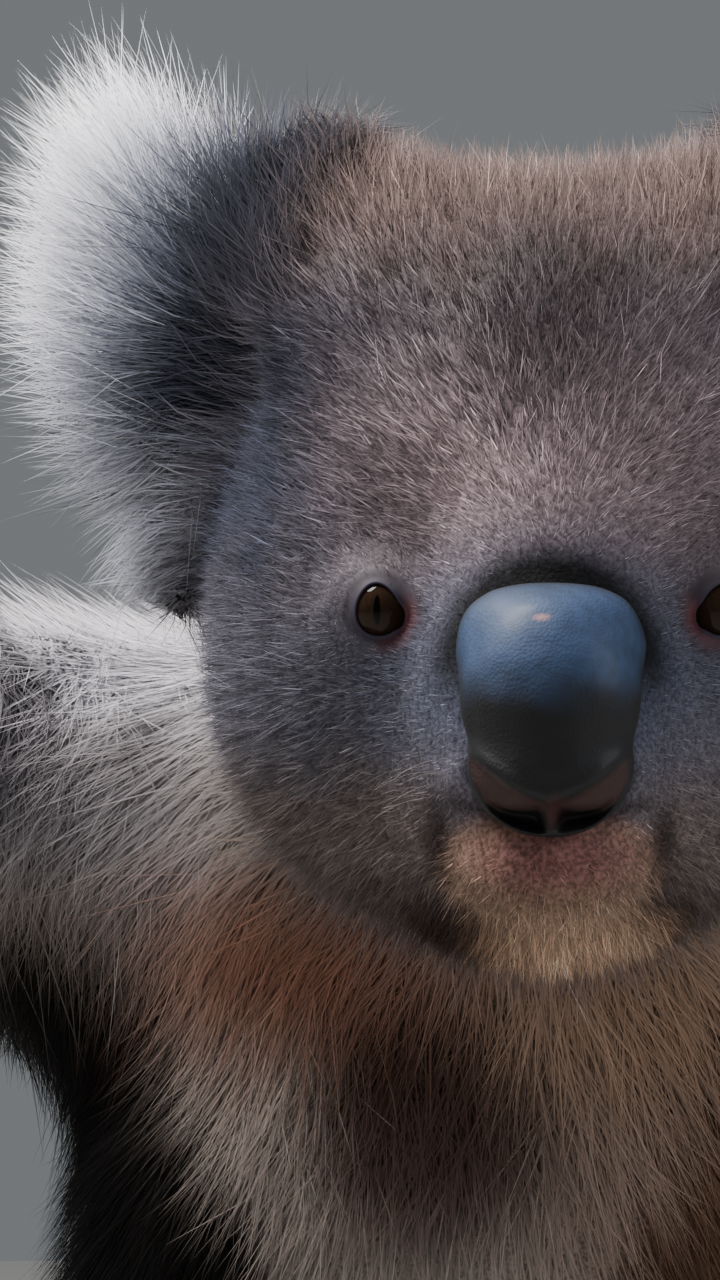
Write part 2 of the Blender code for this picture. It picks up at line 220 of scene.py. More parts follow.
def fromEyes(points):
    # Across, forward and up from the midline of the head at the level of the eyes, in mm
    x, y, z = (points - eyeLine).T * 1000
    return x, -y, z


def atFace(across, up, ahead=0):
    # The place of such distances
    return eyeLine + np.array([across, -ahead, up]) * mm


def step(low, high, x):
    t = np.clip((x - low) / (high - low), 0, 1)
    return t * t * (3 - 2 * t)


def blob(points, middle, radii, soft=0.3):
    # 1 inside an ellipsoid, 0 outside, with a soft edge
    return 1 - step(1 - soft, 1 + soft, np.linalg.norm((points - middle) / np.array(radii), axis=1))


def faceBlob(points, across, up, radii, soft, ahead=0):
    # The same in mm from the line between the eyes
    return blob(points, atFace(across, up, ahead), np.array(radii) * mm, soft)


def wobble(points, size, seed=0):
    # A smooth random value between -1 and 1, from crossing waves of about that size
    waves = np.random.default_rng(seed).normal(size=(7, 3))
    waves = unit(waves) * (2 * np.pi / size) * np.linspace(0.7, 1.5, 7)[:, None]
    phases = np.random.default_rng(seed + 1).uniform(0, 2 * np.pi, 7)
    return np.sin(points @ waves.T + phases).mean(axis=1) * 1.6


def applied(obj):
    # The modifiers' result becomes the object's own mesh
    graph = bpy.context.evaluated_depsgraph_get()
    obj.data = bpy.data.meshes.new_from_object(obj.evaluated_get(graph))
    obj.modifiers.clear()
    return obj


def newMesh(name, bm):
    mesh = bpy.data.meshes.new(name)
    bm.to_mesh(mesh)
    bm.free()
    return mesh


def addPiece(name, mesh):
    piece = bpy.data.objects.new(name, mesh)
    bpy.context.scene.collection.objects.link(piece)
    return piece


def finished(piece, slot, *nodes):
    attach(piece, "root")
    if nodes:
        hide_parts(*nodes)


# The skin: all the flesh in one piece, inside the solids by the depth of the coat

# Depth of the coat, length and width of its hairs in mm, and how steeply they rise in degrees, for each area.
# coatDepth adds the depth on the head and by the wrists, and the ears' flesh has a shape of its own.
coatAreas = {
    "head": (0.0, 8.4, 0.35, 47),
    "lower_jaw": (0.0, 7.0, 0.38, 32),
    "nose": (0.0, 2.0, 0.36, 20),
    "eye": (0.0, 2.0, 0.34, 20),
    "ear": (0.0, 34.0, 0.30, 26),
    "neck": (12.0, 24.0, 0.58, 27),
    "trunk": (12.0, 27.0, 0.62, 26),
    "upper_arm": (11.0, 24.0, 0.58, 26),
    "forearm": (9.0, 19.0, 0.56, 27),
    "hand": (2.4, 6.0, 0.48, 22),
    "thigh": (12.0, 24.0, 0.64, 28),
    "shin": (10.0, 19.0, 0.60, 28),
    "foot": (2.4, 7.0, 0.50, 22),
}
areaNames = list(coatAreas)

skinShape = {
    "voxel": 0.0034,
    "pinnaVoxel": 0.004,
    "outlineVoxel": 0.0045,
    "rounding": 14,
    "pawRounding": 3,
    "insetSteps": 8,
    "pinnaHalf": 0.0036,  # half the thickness of the ear's flesh, before it is drawn in
    "pinnaSize": 0.80,    # its size beside the whole ear's with its hair
    "pinnaIn": 0.42,      # how far towards the head it is drawn in, as a share of the ear's reach
}


def areaOf(name):
    return next(i for i, area in enumerate(areaNames) if name.startswith(area))


def earAxes(side):
    # The solid's middle, and its axes from the thinnest to the longest
    points = pointsOf(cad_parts["ear_" + side].data)
    middle = points.mean(axis=0)
    axes = np.linalg.svd(points - middle, full_matrices=False)[2][::-1]
    axes[0] *= -np.sign(axes[0][1])               # thin axis, to the front
    axes[1] *= np.sign(axes[1][0]) * sides[side]  # across, away from the head
    axes[2] *= np.sign(axes[2][2])                # up
    reach = np.abs((points - middle) @ axes.T).max(axis=0)
    return middle, axes, reach


def mergedCopy(name):
    part = bmesh.new()
    part.from_mesh(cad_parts[name].data)
    bmesh.ops.remove_doubles(part, verts=part.verts, dist=0.00001)
    part.normal_update()
    return addPiece(name + "Copy", newMesh(name + "Copy", part))


def oneSurface(piece, voxel):
    remesh = piece.modifiers.new("oneSurface", "REMESH")
    remesh.mode = "VOXEL"
    remesh.voxel_size = voxel
    return applied(piece)


def pinnaOf(side):
    # The ear's flesh: a thin bowl midway between the solid's front and back, drawn in towards the head
    piece = oneSurface(mergedCopy("ear_" + side), skinShape["pinnaVoxel"])
    points, normals, edges = pointsOf(piece.data), normalsOf(piece.data), edgesOf(piece.data)
    tree = treeOf(piece.data)
    thick = np.array([
        tree.ray_cast(Vector(p - n * 0.0001), Vector(-n))[3] or 0.0 for p, n in zip(points, normals)
    ])
    thick = spread(thick, edges, 6)
    points = points - normals * np.maximum(thick / 2 - skinShape["pinnaHalf"], 0)[:, None]
    points = spread(points, edges, 8)
    middle, axes, reach = earAxes(side)
    anchor = middle - axes[1] * reach[1] * skinShape["pinnaIn"]
    anchor = anchor + axes[0] * (((points - anchor) @ axes[0]).mean())
    setPoints(piece.data, anchor + (points - anchor) * skinShape["pinnaSize"])
    return piece


def fleshTogether(wholeEars, swell=0.0006):
    # Copies of the nodes, a little swollen so that they overlap across the gaps between them
    left = ("claw",) if wholeEars else ("claw", "ear")
    pieces = [mergedCopy(name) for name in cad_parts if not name.startswith(left)]
    for piece in pieces:
        setPoints(piece.data, pointsOf(piece.data) + normalsOf(piece.data) * swell)
    if not wholeEars:
        pieces += [pinnaOf(side) for side in sides]
    whole = bmesh.new()
    for piece in pieces:
        whole.from_mesh(piece.data)
        bpy.data.objects.remove(piece)
    return addPiece("skin", newMesh("skin", whole))


def outlineTree():
    # The outside of the solids, which the tips of the coat reach
    piece = oneSurface(fleshTogether(True), skinShape["outlineVoxel"])
    tree = treeOf(piece.data)
    bpy.data.objects.remove(piece)
    return tree


def nodeAreas(points):
    # The area and the side that each point belongs to, from the nearest CAD node
    corners, faces, owner = [], [], []
    for name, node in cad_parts.items():
        if not name.startswith("claw"):
            faces += [[len(corners) + i for i in p.vertices] for p in node.data.polygons]
            corners += [v.co for v in node.data.vertices]
            owner += [(areaOf(name), -1 if name.endswith("right") else 1)] * len(node.data.polygons)
    tree = BVHTree.FromPolygons(corners, faces)
    return np.array([owner[tree.find_nearest(p)[2]] for p in points])


def areaMask(area, *names):
    return np.isin(area, [areaNames.index(name) for name in names]).astype(float)


def coatDepth(points, area, edges):
    depth = np.array([coatAreas[name][0] for name in areaNames])[area]
    # On the head the coat is thin by the nose and the eyes, and thick on the crown and cheeks
    away = farFrom(points, muzzle)
    face = areaMask(area, "nose") * 9.0 + 2.2 + 3.8 * step(0.022, 0.080, away) + 2 * step(0.09, 0.15, away)
    face = np.minimum(face, 1.2 + 6 * step(0.009, 0.024, eyesNear(points)))
    depth += face * areaMask(area, "head", "lower_jaw", "nose", "eye")
    # On hands and feet it grows thicker towards the wrists and ankles
    wrist = spread(areaMask(area, "forearm", "shin"), edges, 60)
    depth += 7.5 * step(0.02, 0.45, wrist) * areaMask(area, "hand", "foot")
    depth *= 0.12 + 0.88 * step(0.0, 0.035, points[:, 2])
    return spread(depth * mm, edges, 12)


def buildSkin():
    skin = oneSurface(fleshTogether(False), skinShape["voxel"])
    mesh = skin.data
    refineNear(mesh, [(place, 0.019) for place in eyeMiddle.values()] + [(atFace(0, -50, 20), 0.030)])
    points, edges = pointsOf(mesh), edgesOf(mesh)
    area, side = nodeAreas(points).T
    paws = spread(areaMask(area, "hand", "foot"), edges, 6)[:, None]
    points = spread(points, edges, skinShape["pawRounding"])
    points = points * paws + spread(points, edges, skinShape["rounding"]) * (1 - paws)
    setPoints(mesh, points)
    depth = coatDepth(points, area, edges)
    for _ in range(skinShape["insetSteps"]):
        points = points - normalsOf(mesh) * (depth / skinShape["insetSteps"])[:, None]
        points = points + (spread(points, edges, 1, 0.25) - points) * (1 - paws)
        setPoints(mesh, points)
    points = socketsIn(points)
    near = eyesNear(points)
    lidEdge = step(0.0090, 0.0100, near) * step(0.019, 0.015, near)
    points += (spread(points, edges, 4) - points) * lidEdge[:, None]
    points[:, 2] = np.maximum(points[:, 2], 0.0004)
    setPoints(mesh, points)
    return skin, area, side


def refineNear(mesh, places):
    # Finer faces where small forms are shaped
    bm = bmesh.new()
    bm.from_mesh(mesh)
    near = [edge for edge in bm.edges
            if any((edge.verts[0].co - Vector(middle)).length < reach for middle, reach in places)]
    bmesh.ops.subdivide_edges(bm, edges=near, cuts=2, use_grid_fill=True)
    bmesh.ops.triangulate(bm, faces=[face for face in bm.faces if len(face.verts) > 4])
    bm.to_mesh(mesh)
    bm.free()


def socketsIn(points):
    # Round each eye the skin rises to clear the eyeball, and sinks behind the lids
    points = points.copy()
    for name, place in eyeMiddle.items():
        turn = eyeFrame(name)
        local = (points - place) @ turn * 1000
        far = np.hypot(local[:, 0], local[:, 1])
        least = np.interp(far, [5.5, 6.2, 7, 8, 9, 10, 12, 14], [7.2, 6.9, 6.4, 5.5, 4.7, 3.9, 2.0, -4])
        # The inner corner reaches further out
        corner = step(0.3, 0.9, (local[:, 0] * sides[name] * 0.9 - local[:, 1] * 0.45) / np.maximum(far, 1))
        most = np.interp(far - corner * 0.7, [5.5, 6.0, 6.6, 7.3, 9.4, 20], [3.0, 5.6, 7.6, 8.8, 10.4, 60])
        level = np.minimum(np.maximum(local[:, 2], least), most)
        mine = (far < 20) & (local[:, 2] > -1)
        local[:, 2] = np.where(mine, level, local[:, 2])
        points[mine] = (local[mine] / 1000) @ turn.T + place
    return points


# The way the coat lies

# The node that each limb's coat runs towards
limbEnds = {
    "upper_arm": "forearm", "forearm": "hand", "hand": "claw_hand",
    "thigh": "shin", "shin": "foot", "foot": "claw_foot",
}


def coatFlow(points, normals, area, side, edges):
    # On the head and neck it runs away from the nose, on the trunk down, and on each limb towards its end
    flow = unit(points - [eyeLine[0], noseFront, noseMiddle[2] + 0.012])
    back = np.where(points[:, 1] > 0, 0.25, 0.05)
    down = unit(np.stack([points[:, 0] * 2.5, back, -np.ones(len(points))], axis=1))
    trunk = areaMask(area, "trunk")[:, None]
    flow = flow * (1 - trunk) + down * trunk
    for name, sign in sides.items():
        ways = {}
        for limb, last in limbEnds.items():
            claws = last.startswith("claw")
            ends = ["%s_%s_%d" % (last, name, i) for i in (2, 3, 4)] if claws else [last + "_" + name]
            ways[limb] = unit(middleOf(*ends) - middleOf(limb + "_" + name)) - [0, 0, 0 if claws else 0.45]
        middle, axes, reach = earAxes(name)
        ways["ear"] = points - middle + axes[1] * reach[1] * 0.85 + axes[2] * reach[2] * 0.25
        for limb, way in ways.items():
            mine = (areaMask(area, limb) * (side == sign))[:, None]
            flow = flow * (1 - mine) + unit(way) * mine
    flow = spread(flow, edges, 10)
    flow -= normals * (flow * normals).sum(axis=1, keepdims=True)
    return unit(spread(unit(flow), edges, 6))


# Markings, the same on the skin and the coat

def paint(red, green, blue):
    # From a colour as a screen shows it
    value = np.array([red, green, blue]) / 255
    return np.where(value <= 0.04045, value / 12.92, ((value + 0.055) / 1.055) ** 2.4)


markings = {name: paint(*colour) for name, colour in {
    # Painted bluish shade for the recessed temples, over grey fur
    # Painted light for the bulging brows
    "grey": (90, 82, 86), "temple": (42, 44, 56), "crown": (87, 72, 68), "brow": (119, 103, 106),
    # Painted shade for the dip of the forehead, over darker brown fur
    # Painted shade for the head's side where it meets each ear
    "hollow": (38, 32, 33), "earSide": (30, 28, 32), "cheek": (80, 78, 86), "cheekLow": (90, 80, 78),
    # Dark brown fur under the jaw, darkened further as painted shade
    "jaw": (31, 18, 12), "snout": (53, 59, 76), "noseRim": (8, 8, 10), "chin": (116, 95, 82),
    # Painted shade for the crease of the mouth and its corners
    "lip": (101, 69, 65), "mouth": (30, 20, 17), "lid": (50, 44, 50), "lidPink": (78, 46, 52),
    # Painted shade for the root of the ear by its canal, over dark-grey hair
    "earWhite": (240, 240, 250), "earMid": (88, 91, 106), "earBase": (22, 23, 30),
    # Painted shade for the crease between the ear and the head
    "earBack": (126, 118, 115), "earBand": (24, 25, 31),
    # Painted light: a paler cream for the throat and upper chest in the head's shadow
    "white": (193, 189, 196), "cream": (124, 113, 106), "throat": (162, 133, 112),
    "armCream": (118, 113, 115), "brown": (108, 80, 62), "rust": (120, 72, 51), "gland": (40, 16, 8),
    # Painted shade for the flank under the arm
    "flank": (9, 6, 4), "back": (103, 95, 91), "rump": (160, 150, 140), "belly": (176, 162, 148),
    "limb": (84, 80, 84), "paw": (74, 66, 62), "palm": (58, 46, 44),
}.items()}


def maskOf(soft, *names):
    return sum(soft[name] for name in names)


def tinted(colour, other, mask):
    return colour + (other - colour) * mask[:, None]


def marked(colour, marks):
    # Each mark is the name of its colour and where it lies, the later ones over the earlier
    for name, mask in marks:
        colour = tinted(colour, markings[name], np.clip(mask, 0, 1))
    return colour


def lipMask(points):
    return faceBlob(points, 0.8, -49.5, (16.5, 30, 7.6), 0.6, 25)


def headColour(colour, points):
    x, forward, z = fromEyes(points)
    width = np.abs(x)
    ragged = wobble(points, 0.022, 3) * 4 + wobble(points, 0.009, 8) * 2.5
    sideways = step(-105, -55, forward + ragged)
    # Painted shade on the head's side by each ear
    earSide = step(-95, -60, forward) * step(-16, -36, forward + ragged) * 0.6
    marks = [
        # Painted bluish shade on the recessed temples
        ("temple", step(26, 64, width + ragged) * step(-32, 22, z + ragged) * sideways),
        ("cheek", step(18, 34, width + ragged) * step(8, -10, z) * sideways),
        ("cheekLow", step(-20, -46, z + ragged) * step(14, 26, width)),
        ("crown", step(56, 84, z + ragged) * step(86, 50, width) * step(-105, -50, forward)),
        # Painted light on the bulging brows
        ("brow", faceBlob(points, -14, 34, (26, 50, 22), 0.7) * 0.9),
        ("brow", faceBlob(points, 14, 34, (26, 50, 22), 0.7) * 0.9),
        # Painted shade in the dip of the forehead, over darker brown fur
        ("hollow", faceBlob(points, -1, 60, (20, 80, 20), 0.8) * 0.7),
        ("snout", faceBlob(points, 0, -14, (31, 80, 26), 0.5) * 0.9),
        # Dark brown fur under the jaw, darkened further as painted shade
        ("jaw", step(-50, -68, z + ragged) * step(80, 30, -forward)),
        # Painted shade where the head meets each ear
        ("earSide", faceBlob(points, -62, 68, (14, 45, 45), 0.8) * earSide),
        ("earSide", faceBlob(points, 62, 68, (14, 45, 45), 0.8) * earSide),
        ("noseRim", faceBlob(points, 0, -16, (24.5, 80, 29), 0.12) * step(-24, -8, z)),
    ]
    for name, place in eyeMiddle.items():
        local = (points - place) @ eyeFrame(name) * 1000
        far = np.hypot(local[:, 0], local[:, 1])
        inner = step(0.2, 0.9, (local[:, 0] * sides[name] * 0.8 - local[:, 1] * 0.55) / far)
        marks += [
            ("lid", step(9.5, 6.0, far - 1.5 * inner) * 0.8),
            ("lidPink", step(10.5, 6.5, far) * inner * 0.8),
        ]
    return marked(colour, marks)


def bodyColour(colour, points, normals, soft, side):
    px, py, pz = points.T * 1000
    width = np.abs(px)
    ragged = wobble(points, 0.030, 13) * 5 + wobble(points, 0.011, 18) * 3
    trunk = maskOf(soft, "trunk", "neck")
    front = trunk * step(16, -40, py + ragged)
    white = step(380, 398, pz + ragged)
    flat = 1 - step(84, 100, width + ragged) * step(300, 270, pz)
    arm = step(84, 96, width + ragged) * step(414, 404, pz) * step(368, 378, pz)
    # Painted shade on the flank under the arm
    edge = np.interp(pz, [200, 240, 272, 301, 334, 350], [88, 58, 34, 48, 60, 84])
    flank = step(-6, 7, width - edge + ragged * 0.8) * step(355, 343, pz + ragged * 0.4)
    gland = blob(points, (-0.004, -0.115, 0.312), (0.025, 0.06, 0.028), 0.4)
    limbs = maskOf(soft, "upper_arm", "forearm", "thigh", "shin")
    inner = step(0.05, 0.6, -normals[:, 0] * side * 0.85 - normals[:, 1] * 0.45 - normals[:, 2] * 0.35)
    paws = maskOf(soft, "hand", "foot")
    return marked(colour, [
        ("back", trunk),
        ("rump", trunk * step(150, 60, pz + ragged * 3) * step(-20, 60, py) * 0.8),
        ("white", front * white * step(32, 52, width)),
        ("cream", front * (1 - white) * flat),
        ("white", front * blob(points, (0.088, -0.05, 0.352), (0.034, 0.05, 0.030), 0.6)),
        ("armCream", front * step(350, 372, pz + ragged) * (1 - white) * step(34, 60, width)),
        # Painted light: paler cream below the chin, where the head's shadow falls
        ("throat", trunk * blob(points, (0.038, -0.10, 0.340), (0.036, 0.06, 0.020), 0.7) * 0.8),
        ("belly", front * step(262, 215, pz + ragged * 2) * flat),
        ("limb", trunk * arm),
        # Painted shade under the arm
        ("flank", trunk * flank * step(222, 262, pz) * step(45, 5, py)),
        ("rust", trunk * blob(points, (-0.030, -0.10, 0.346), (0.036, 0.07, 0.018), 0.7) * 0.75),
        ("brown", front * blob(points, (0.052, -0.10, 0.315), (0.034, 0.08, 0.050), 0.7) * 0.55),
        ("gland", trunk * gland * (0.85 + 0.15 * wobble(points, 0.008, 5))),
        ("limb", limbs),
        ("armCream", limbs * inner * 0.9),
        ("paw", paws),
        ("palm", paws * step(-0.25, -0.6, normals[:, 2])),
    ])


def earColour(colour, points, normals, soft, side):
    # How far out from the head, as a share of the ear's reach, and paler towards its top
    out, behind, low = np.zeros((3, len(points)))
    for name, sign in sides.items():
        middle, axes, reach = earAxes(name)
        mine = side == sign
        ahead, share, high = ((points - middle) @ axes.T / [1, reach[1], reach[2]]).T
        up = step(0.1, 1.0, high)
        low = np.where(mine, step(-0.25, -0.70, high), low)
        out = np.where(mine, share + 0.45 * up * step(-0.75, 0.1, share), out)
        facing = np.maximum(step(0.35, -0.15, normals @ axes[0]), step(0.0, 0.4, normals[:, 1]))
        behind = np.where(mine, facing * step(0.004, -0.004, ahead), behind)
    out = out + wobble(points, 0.03, 23) * 0.06 + wobble(points, 0.010, 28) * 0.04
    ear = maskOf(soft, "ear")
    # Painted shade in the crease where the ear meets the head
    x, forward, z = fromEyes(points)
    ragged = wobble(points, 0.016, 33) * 5 + wobble(points, 0.007, 38) * 3
    middle = 62 + (92 - z) * 0.20
    creaseShade = step(19, 3, np.abs(np.abs(x) - middle) + ragged) * (1 - behind)
    creaseShade *= step(14, 44, z + ragged) * step(114, 90, z + ragged)
    creaseShade *= step(-82, -62, forward) * step(-22, -44, forward + ragged)
    return marked(colour, [
        # Painted shade at the ear's root, over dark-grey hair; paler marks cover the rest
        ("earBase", ear),
        ("earMid", ear * np.maximum(step(-0.36, 0.02, out), low)),
        ("earWhite", ear * low * 0.45),
        ("grey", ear * behind),
        ("earBack", ear * behind * step(-0.75, -0.25, out)),
        ("earWhite", ear * step(0.05 + 0.25 * behind, 0.65 + 0.2 * behind, out)),
        ("earBand", creaseShade * 0.85),
    ])


def coatColour(points, normals, soft, side):
    colour = np.tile(markings["grey"], (len(points), 1))
    head = maskOf(soft, "head", "lower_jaw", "nose", "eye", "ear")[:, None]
    colour = headColour(colour, points) * head + bodyColour(colour, points, normals, soft, side) * (1 - head)
    colour = earColour(colour, points, normals, soft, side)
    x, forward, z = fromEyes(points)
    # Painted shade along the crease of the mouth, and at its corners
    bow = z + 41.5 + 2.5 * np.cos(x / 22 * np.pi)
    x = np.abs(x)
    line = np.exp(-(bow / 1.6) ** 2) * step(5, 9, x) * step(22.5, 19, x) * step(10, 25, forward)
    return marked(colour, [
        ("chin", faceBlob(points, 0, -53, (22.5, 28, 15), 0.14, 15)),
        # Painted light: paler under the chin, in place of light thrown up from below
        ("throat", faceBlob(points, 10, -73, (27, 40, 11), 0.4, 10)),
        ("lip", lipMask(points)),
        ("mouth", line * 0.6),
        ("mouth", faceBlob(points, -22.5, -46, (2.8, 30, 7.5), 0.7) * 0.8),
        ("mouth", faceBlob(points, 22.5, -46, (2.8, 30, 7.5), 0.7) * 0.8),
    ])


# Growing hair

def rootsOn(ground, weight, count, chance):
    # Roots spread at random over the skin, as many for each triangle as its size and weight ask
    corners = ground["triangles"]
    a, b, c = ground["points"][corners].transpose(1, 0, 2)
    share = np.linalg.norm(np.cross(b - a, c - a), axis=1) * weight[corners].mean(axis=1)
    chosen = chance.choice(len(corners), count, p=share / share.sum())
    u, v = chance.random((2, count))
    over = u + v > 1
    u, v = np.where(over, 1 - u, u), np.where(over, 1 - v, v)
    parts = np.stack([1 - u - v, u, v], axis=1)

    def between(values):
        return (values * (parts[:, :, None] if values.ndim == 3 else parts)).sum(axis=1)

    names = ("points", "normals", "flow", "low", "high", "length", "width", "rise")
    roots = {name: between(ground[name][corners[chosen]]) for name in names}
    roots["place"] = between(ground["uv"][ground["loops"][chosen]])
    return roots


def heldIn(path, outline, slack):
    # Bends hairs that would pass the outline back to it
    joints = path.shape[1] - 1
    pull = np.zeros((len(path), 3))
    for i, tip in enumerate(path[:, -1]):
        place, normal, _, _ = outline.find_nearest(tip)
        pull[i] = np.array(normal) * max((Vector(tip) - place).dot(normal) - slack[i], 0)
    for joint in range(1, joints + 1):
        path[:, joint] -= pull * (joint / joints) ** 1.3


def hairPaths(roots, normal, look, chance, seed):
    # The middle line of each hair, and its width
    count, joints = len(normal), look["joints"]
    way = unit(roots["flow"] - normal * (roots["flow"] * normal).sum(axis=1, keepdims=True))
    turn = chance.normal(0, math.radians(look["stray"]), count)
    turn = (turn + math.radians(look["sway"]) * wobble(roots["points"], look["swaySize"], seed))[:, None]
    way = way * np.cos(turn) + np.cross(normal, way) * np.sin(turn)
    length = roots["length"] * look["short"] * np.exp(chance.normal(0, look["uneven"], count))
    width = roots["width"] * chance.uniform(0.75, 1.25, count)
    rise = roots["rise"] + chance.normal(0, look["lift"], count)
    path = [roots["points"] - normal * 0.0008]
    for joint in range(joints):
        share = joint / (joints - 1) if joints > 1 else 0.4
        pitch = np.radians(rise * (1 + look["bend"] * (0.5 - share)))[:, None]
        heading = unit(way * np.cos(pitch) + normal * np.sin(pitch) - [0, 0, look["droop"] * share])
        path.append(path[-1] + heading * (length / joints)[:, None])
    return np.stack(path, axis=1), width


def lockTogether(path, roots, look, chance):
    # Each hair leans towards the nearest one that leads a lock
    joints = path.shape[1] - 1
    leaders = chance.choice(len(path), max(len(path) // look["lockOf"], 1), replace=False)
    tree = KDTree(len(leaders))
    for i, leader in enumerate(leaders):
        tree.insert(roots[leader], i)
    tree.balance()
    mine = leaders[np.array([tree.find(p)[1] for p in roots])]
    pull = path[mine, -1] - path[:, -1]
    far = np.linalg.norm(pull, axis=1, keepdims=True)
    pull *= np.minimum(1, look["lockReach"] / np.maximum(far, 1e-9)) * look["lock"]
    for joint in range(1, joints + 1):
        path[:, joint] += pull * (joint / joints) ** 1.5


def hairFaces(joints, count):
    # The walls, the pointed tip and the closed root
    tip = joints * 3
    faces = []
    for ring in range(0, tip - 3, 3):
        for k in range(3):
            a, b = ring + k, ring + (k + 1) % 3
            faces += [(a, b + 3, b), (a, a + 3, b + 3)]
    faces += [(tip - 3 + k, tip, tip - 3 + (k + 1) % 3) for k in range(3)] + [(0, 1, 2)]
    return (np.array(faces)[None] + (np.arange(count) * (tip + 1))[:, None, None]).reshape(-1, 3)


def growHair(name, ground, weight, count, look, seed):
    # Closed three-sided hairs: a flat underside, and a low ridge along the top
    chance = np.random.default_rng(seed)
    roots = rootsOn(ground, weight, count, chance)
    joints = look["joints"]
    normal = unit(roots["normals"])
    path, width = hairPaths(roots, normal, look, chance, seed)
    lockTogether(path, roots["points"], look, chance)
    heldIn(path, ground["outline"], chance.normal(0.0005, look["loose"], count))
    path[:, :, 2] = np.maximum(path[:, :, 2], 0.0012 + 0.002 * chance.random(count)[:, None])
    ahead = np.diff(path, axis=1)
    ahead = unit(np.concatenate([ahead, ahead[:, -1:]], axis=1))
    beside = unit(np.cross(ahead, normal[:, None]))
    above = np.cross(beside, ahead)[:, :-1]
    beside = beside[:, :-1]
    along = np.arange(joints) / joints
    half = (width[:, None] * np.interp(along, [0, 0.35, 1], [0.75, 1.0, 0.25]) / 2)[..., None]
    rings = np.stack([path[:, :-1] + out * half for out in (beside, above * 0.7, -beside)], axis=2)
    points = np.concatenate([rings.reshape(count, -1, 3), path[:, -1:]], axis=1)
    points[:, :, 2] = np.maximum(points[:, :, 2], 0.0004)
    # Shading between the skin's and the hair's own
    lean = np.array([0.45, 0.0, -0.45])[None, None, :, None]
    shade = normal[:, None, None] * look["soft"] + above[:, :, None] * (1 - look["soft"])
    shade = unit(shade + beside[:, :, None] * lean).reshape(count, -1, 3)
    shade = np.concatenate([shade, unit(normal + ahead[:, -1] * 0.4)[:, None]], axis=1)
    shade = unit(shade + chance.normal(0, look["sparkle"], (count, 1, 3)))
    # Colour: darker at the root, paler towards the tip, and no two hairs alike
    tone = np.exp(chance.normal(0, look["grizzle"], count))
    tone *= np.where(chance.random(count) < look["paleTips"], look["palest"], 1)
    depth = np.r_[np.repeat(along, 3), 1]
    tint = 1 + (look["rootShade"] - 1) * (1 - depth) ** 1.3
    colour = roots["low"][:, None] + (roots["high"] - roots["low"])[:, None] * depth[:, None]
    colour = np.clip(colour * (tone[:, None] ** (0.35 + 0.65 * depth) * tint)[..., None], 0.002, 0.9)
    patch = np.stack([np.r_[np.tile([0, 0.5, 1], joints), 0.5], depth], axis=1) * 0.003
    return meshFrom(name, points, hairFaces(joints, count), shade, colour, roots["place"][:, None] + patch)


def meshFrom(name, points, faces, normals, colour, place):
    mesh = bpy.data.meshes.new(name)
    mesh.vertices.add(points.size // 3)
    mesh.loops.add(faces.size)
    mesh.polygons.add(len(faces))
    mesh.vertices.foreach_set("co", points.ravel())
    mesh.loops.foreach_set("vertex_index", faces.ravel())
    mesh.polygons.foreach_set("loop_start", np.arange(0, faces.size, 3))
    mesh.update(calc_edges=True)
    addColour(mesh, colour.reshape(-1, 3))
    uv = mesh.uv_layers.new(name="OFBake")
    uv.data.foreach_set("uv", place.reshape(-1, 2)[faces.ravel()].ravel())
    mesh.shade_smooth()
    mesh.normals_split_custom_set_from_vertices(normals.reshape(-1, 3))
    return addPiece(name, mesh)


def addColour(mesh, colour):
    layer = mesh.color_attributes.new("coat", "FLOAT_COLOR", "POINT")
    layer.data.foreach_set("color", np.c_[colour, np.ones(len(colour))].ravel())


def furMaterial(name, roughness, specular, sheen):
    inputs = {"Specular IOR Level": specular, "Sheen Weight": sheen, "Sheen Roughness": 0.45}
    return newMaterial(name, roughness, None, inputs)[0]


def skinMaterial():
    # Grain and bump for the short fur between the hairs
    material, tree, shader = newMaterial("skin", 0.8, None, {"Specular IOR Level": 0.1})
    colour = shader.inputs["Base Color"].links[0].from_socket
    place = addNode(tree, "ShaderNodeTexCoord").outputs["Object"]
    grain = addNode(tree, "ShaderNodeTexNoise", {"Vector": place, "Scale": 1100, "Detail": 2}).outputs["Fac"]
    contrast = {"Value": grain, "From Min": 0.35, "From Max": 0.65, "To Min": 0.60, "To Max": 1.36}
    contrast = addNode(tree, "ShaderNodeMapRange", contrast).outputs["Result"]
    grained = addNode(tree, "ShaderNodeVectorMath", {0: colour, "Scale": contrast}, operation="SCALE")
    setInputs(tree, shader, {"Base Color": grained.outputs["Vector"]})
    addBump(tree, shader, grain, 0.6, 0.0004)
    return material


def unwrapped(piece):
    bpy.context.view_layer.objects.active = piece
    piece.select_set(True)
    bpy.ops.object.mode_set(mode="EDIT")
    bpy.ops.mesh.select_all(action="SELECT")
    bpy.ops.uv.smart_project(angle_limit=math.radians(66), island_margin=0.002)
    bpy.ops.object.mode_set(mode="OBJECT")
    piece.select_set(False)
    piece.data.uv_layers.active.name = "OFBake"
    return readAll(piece.data.uv_layers["OFBake"].data, "uv", 2)


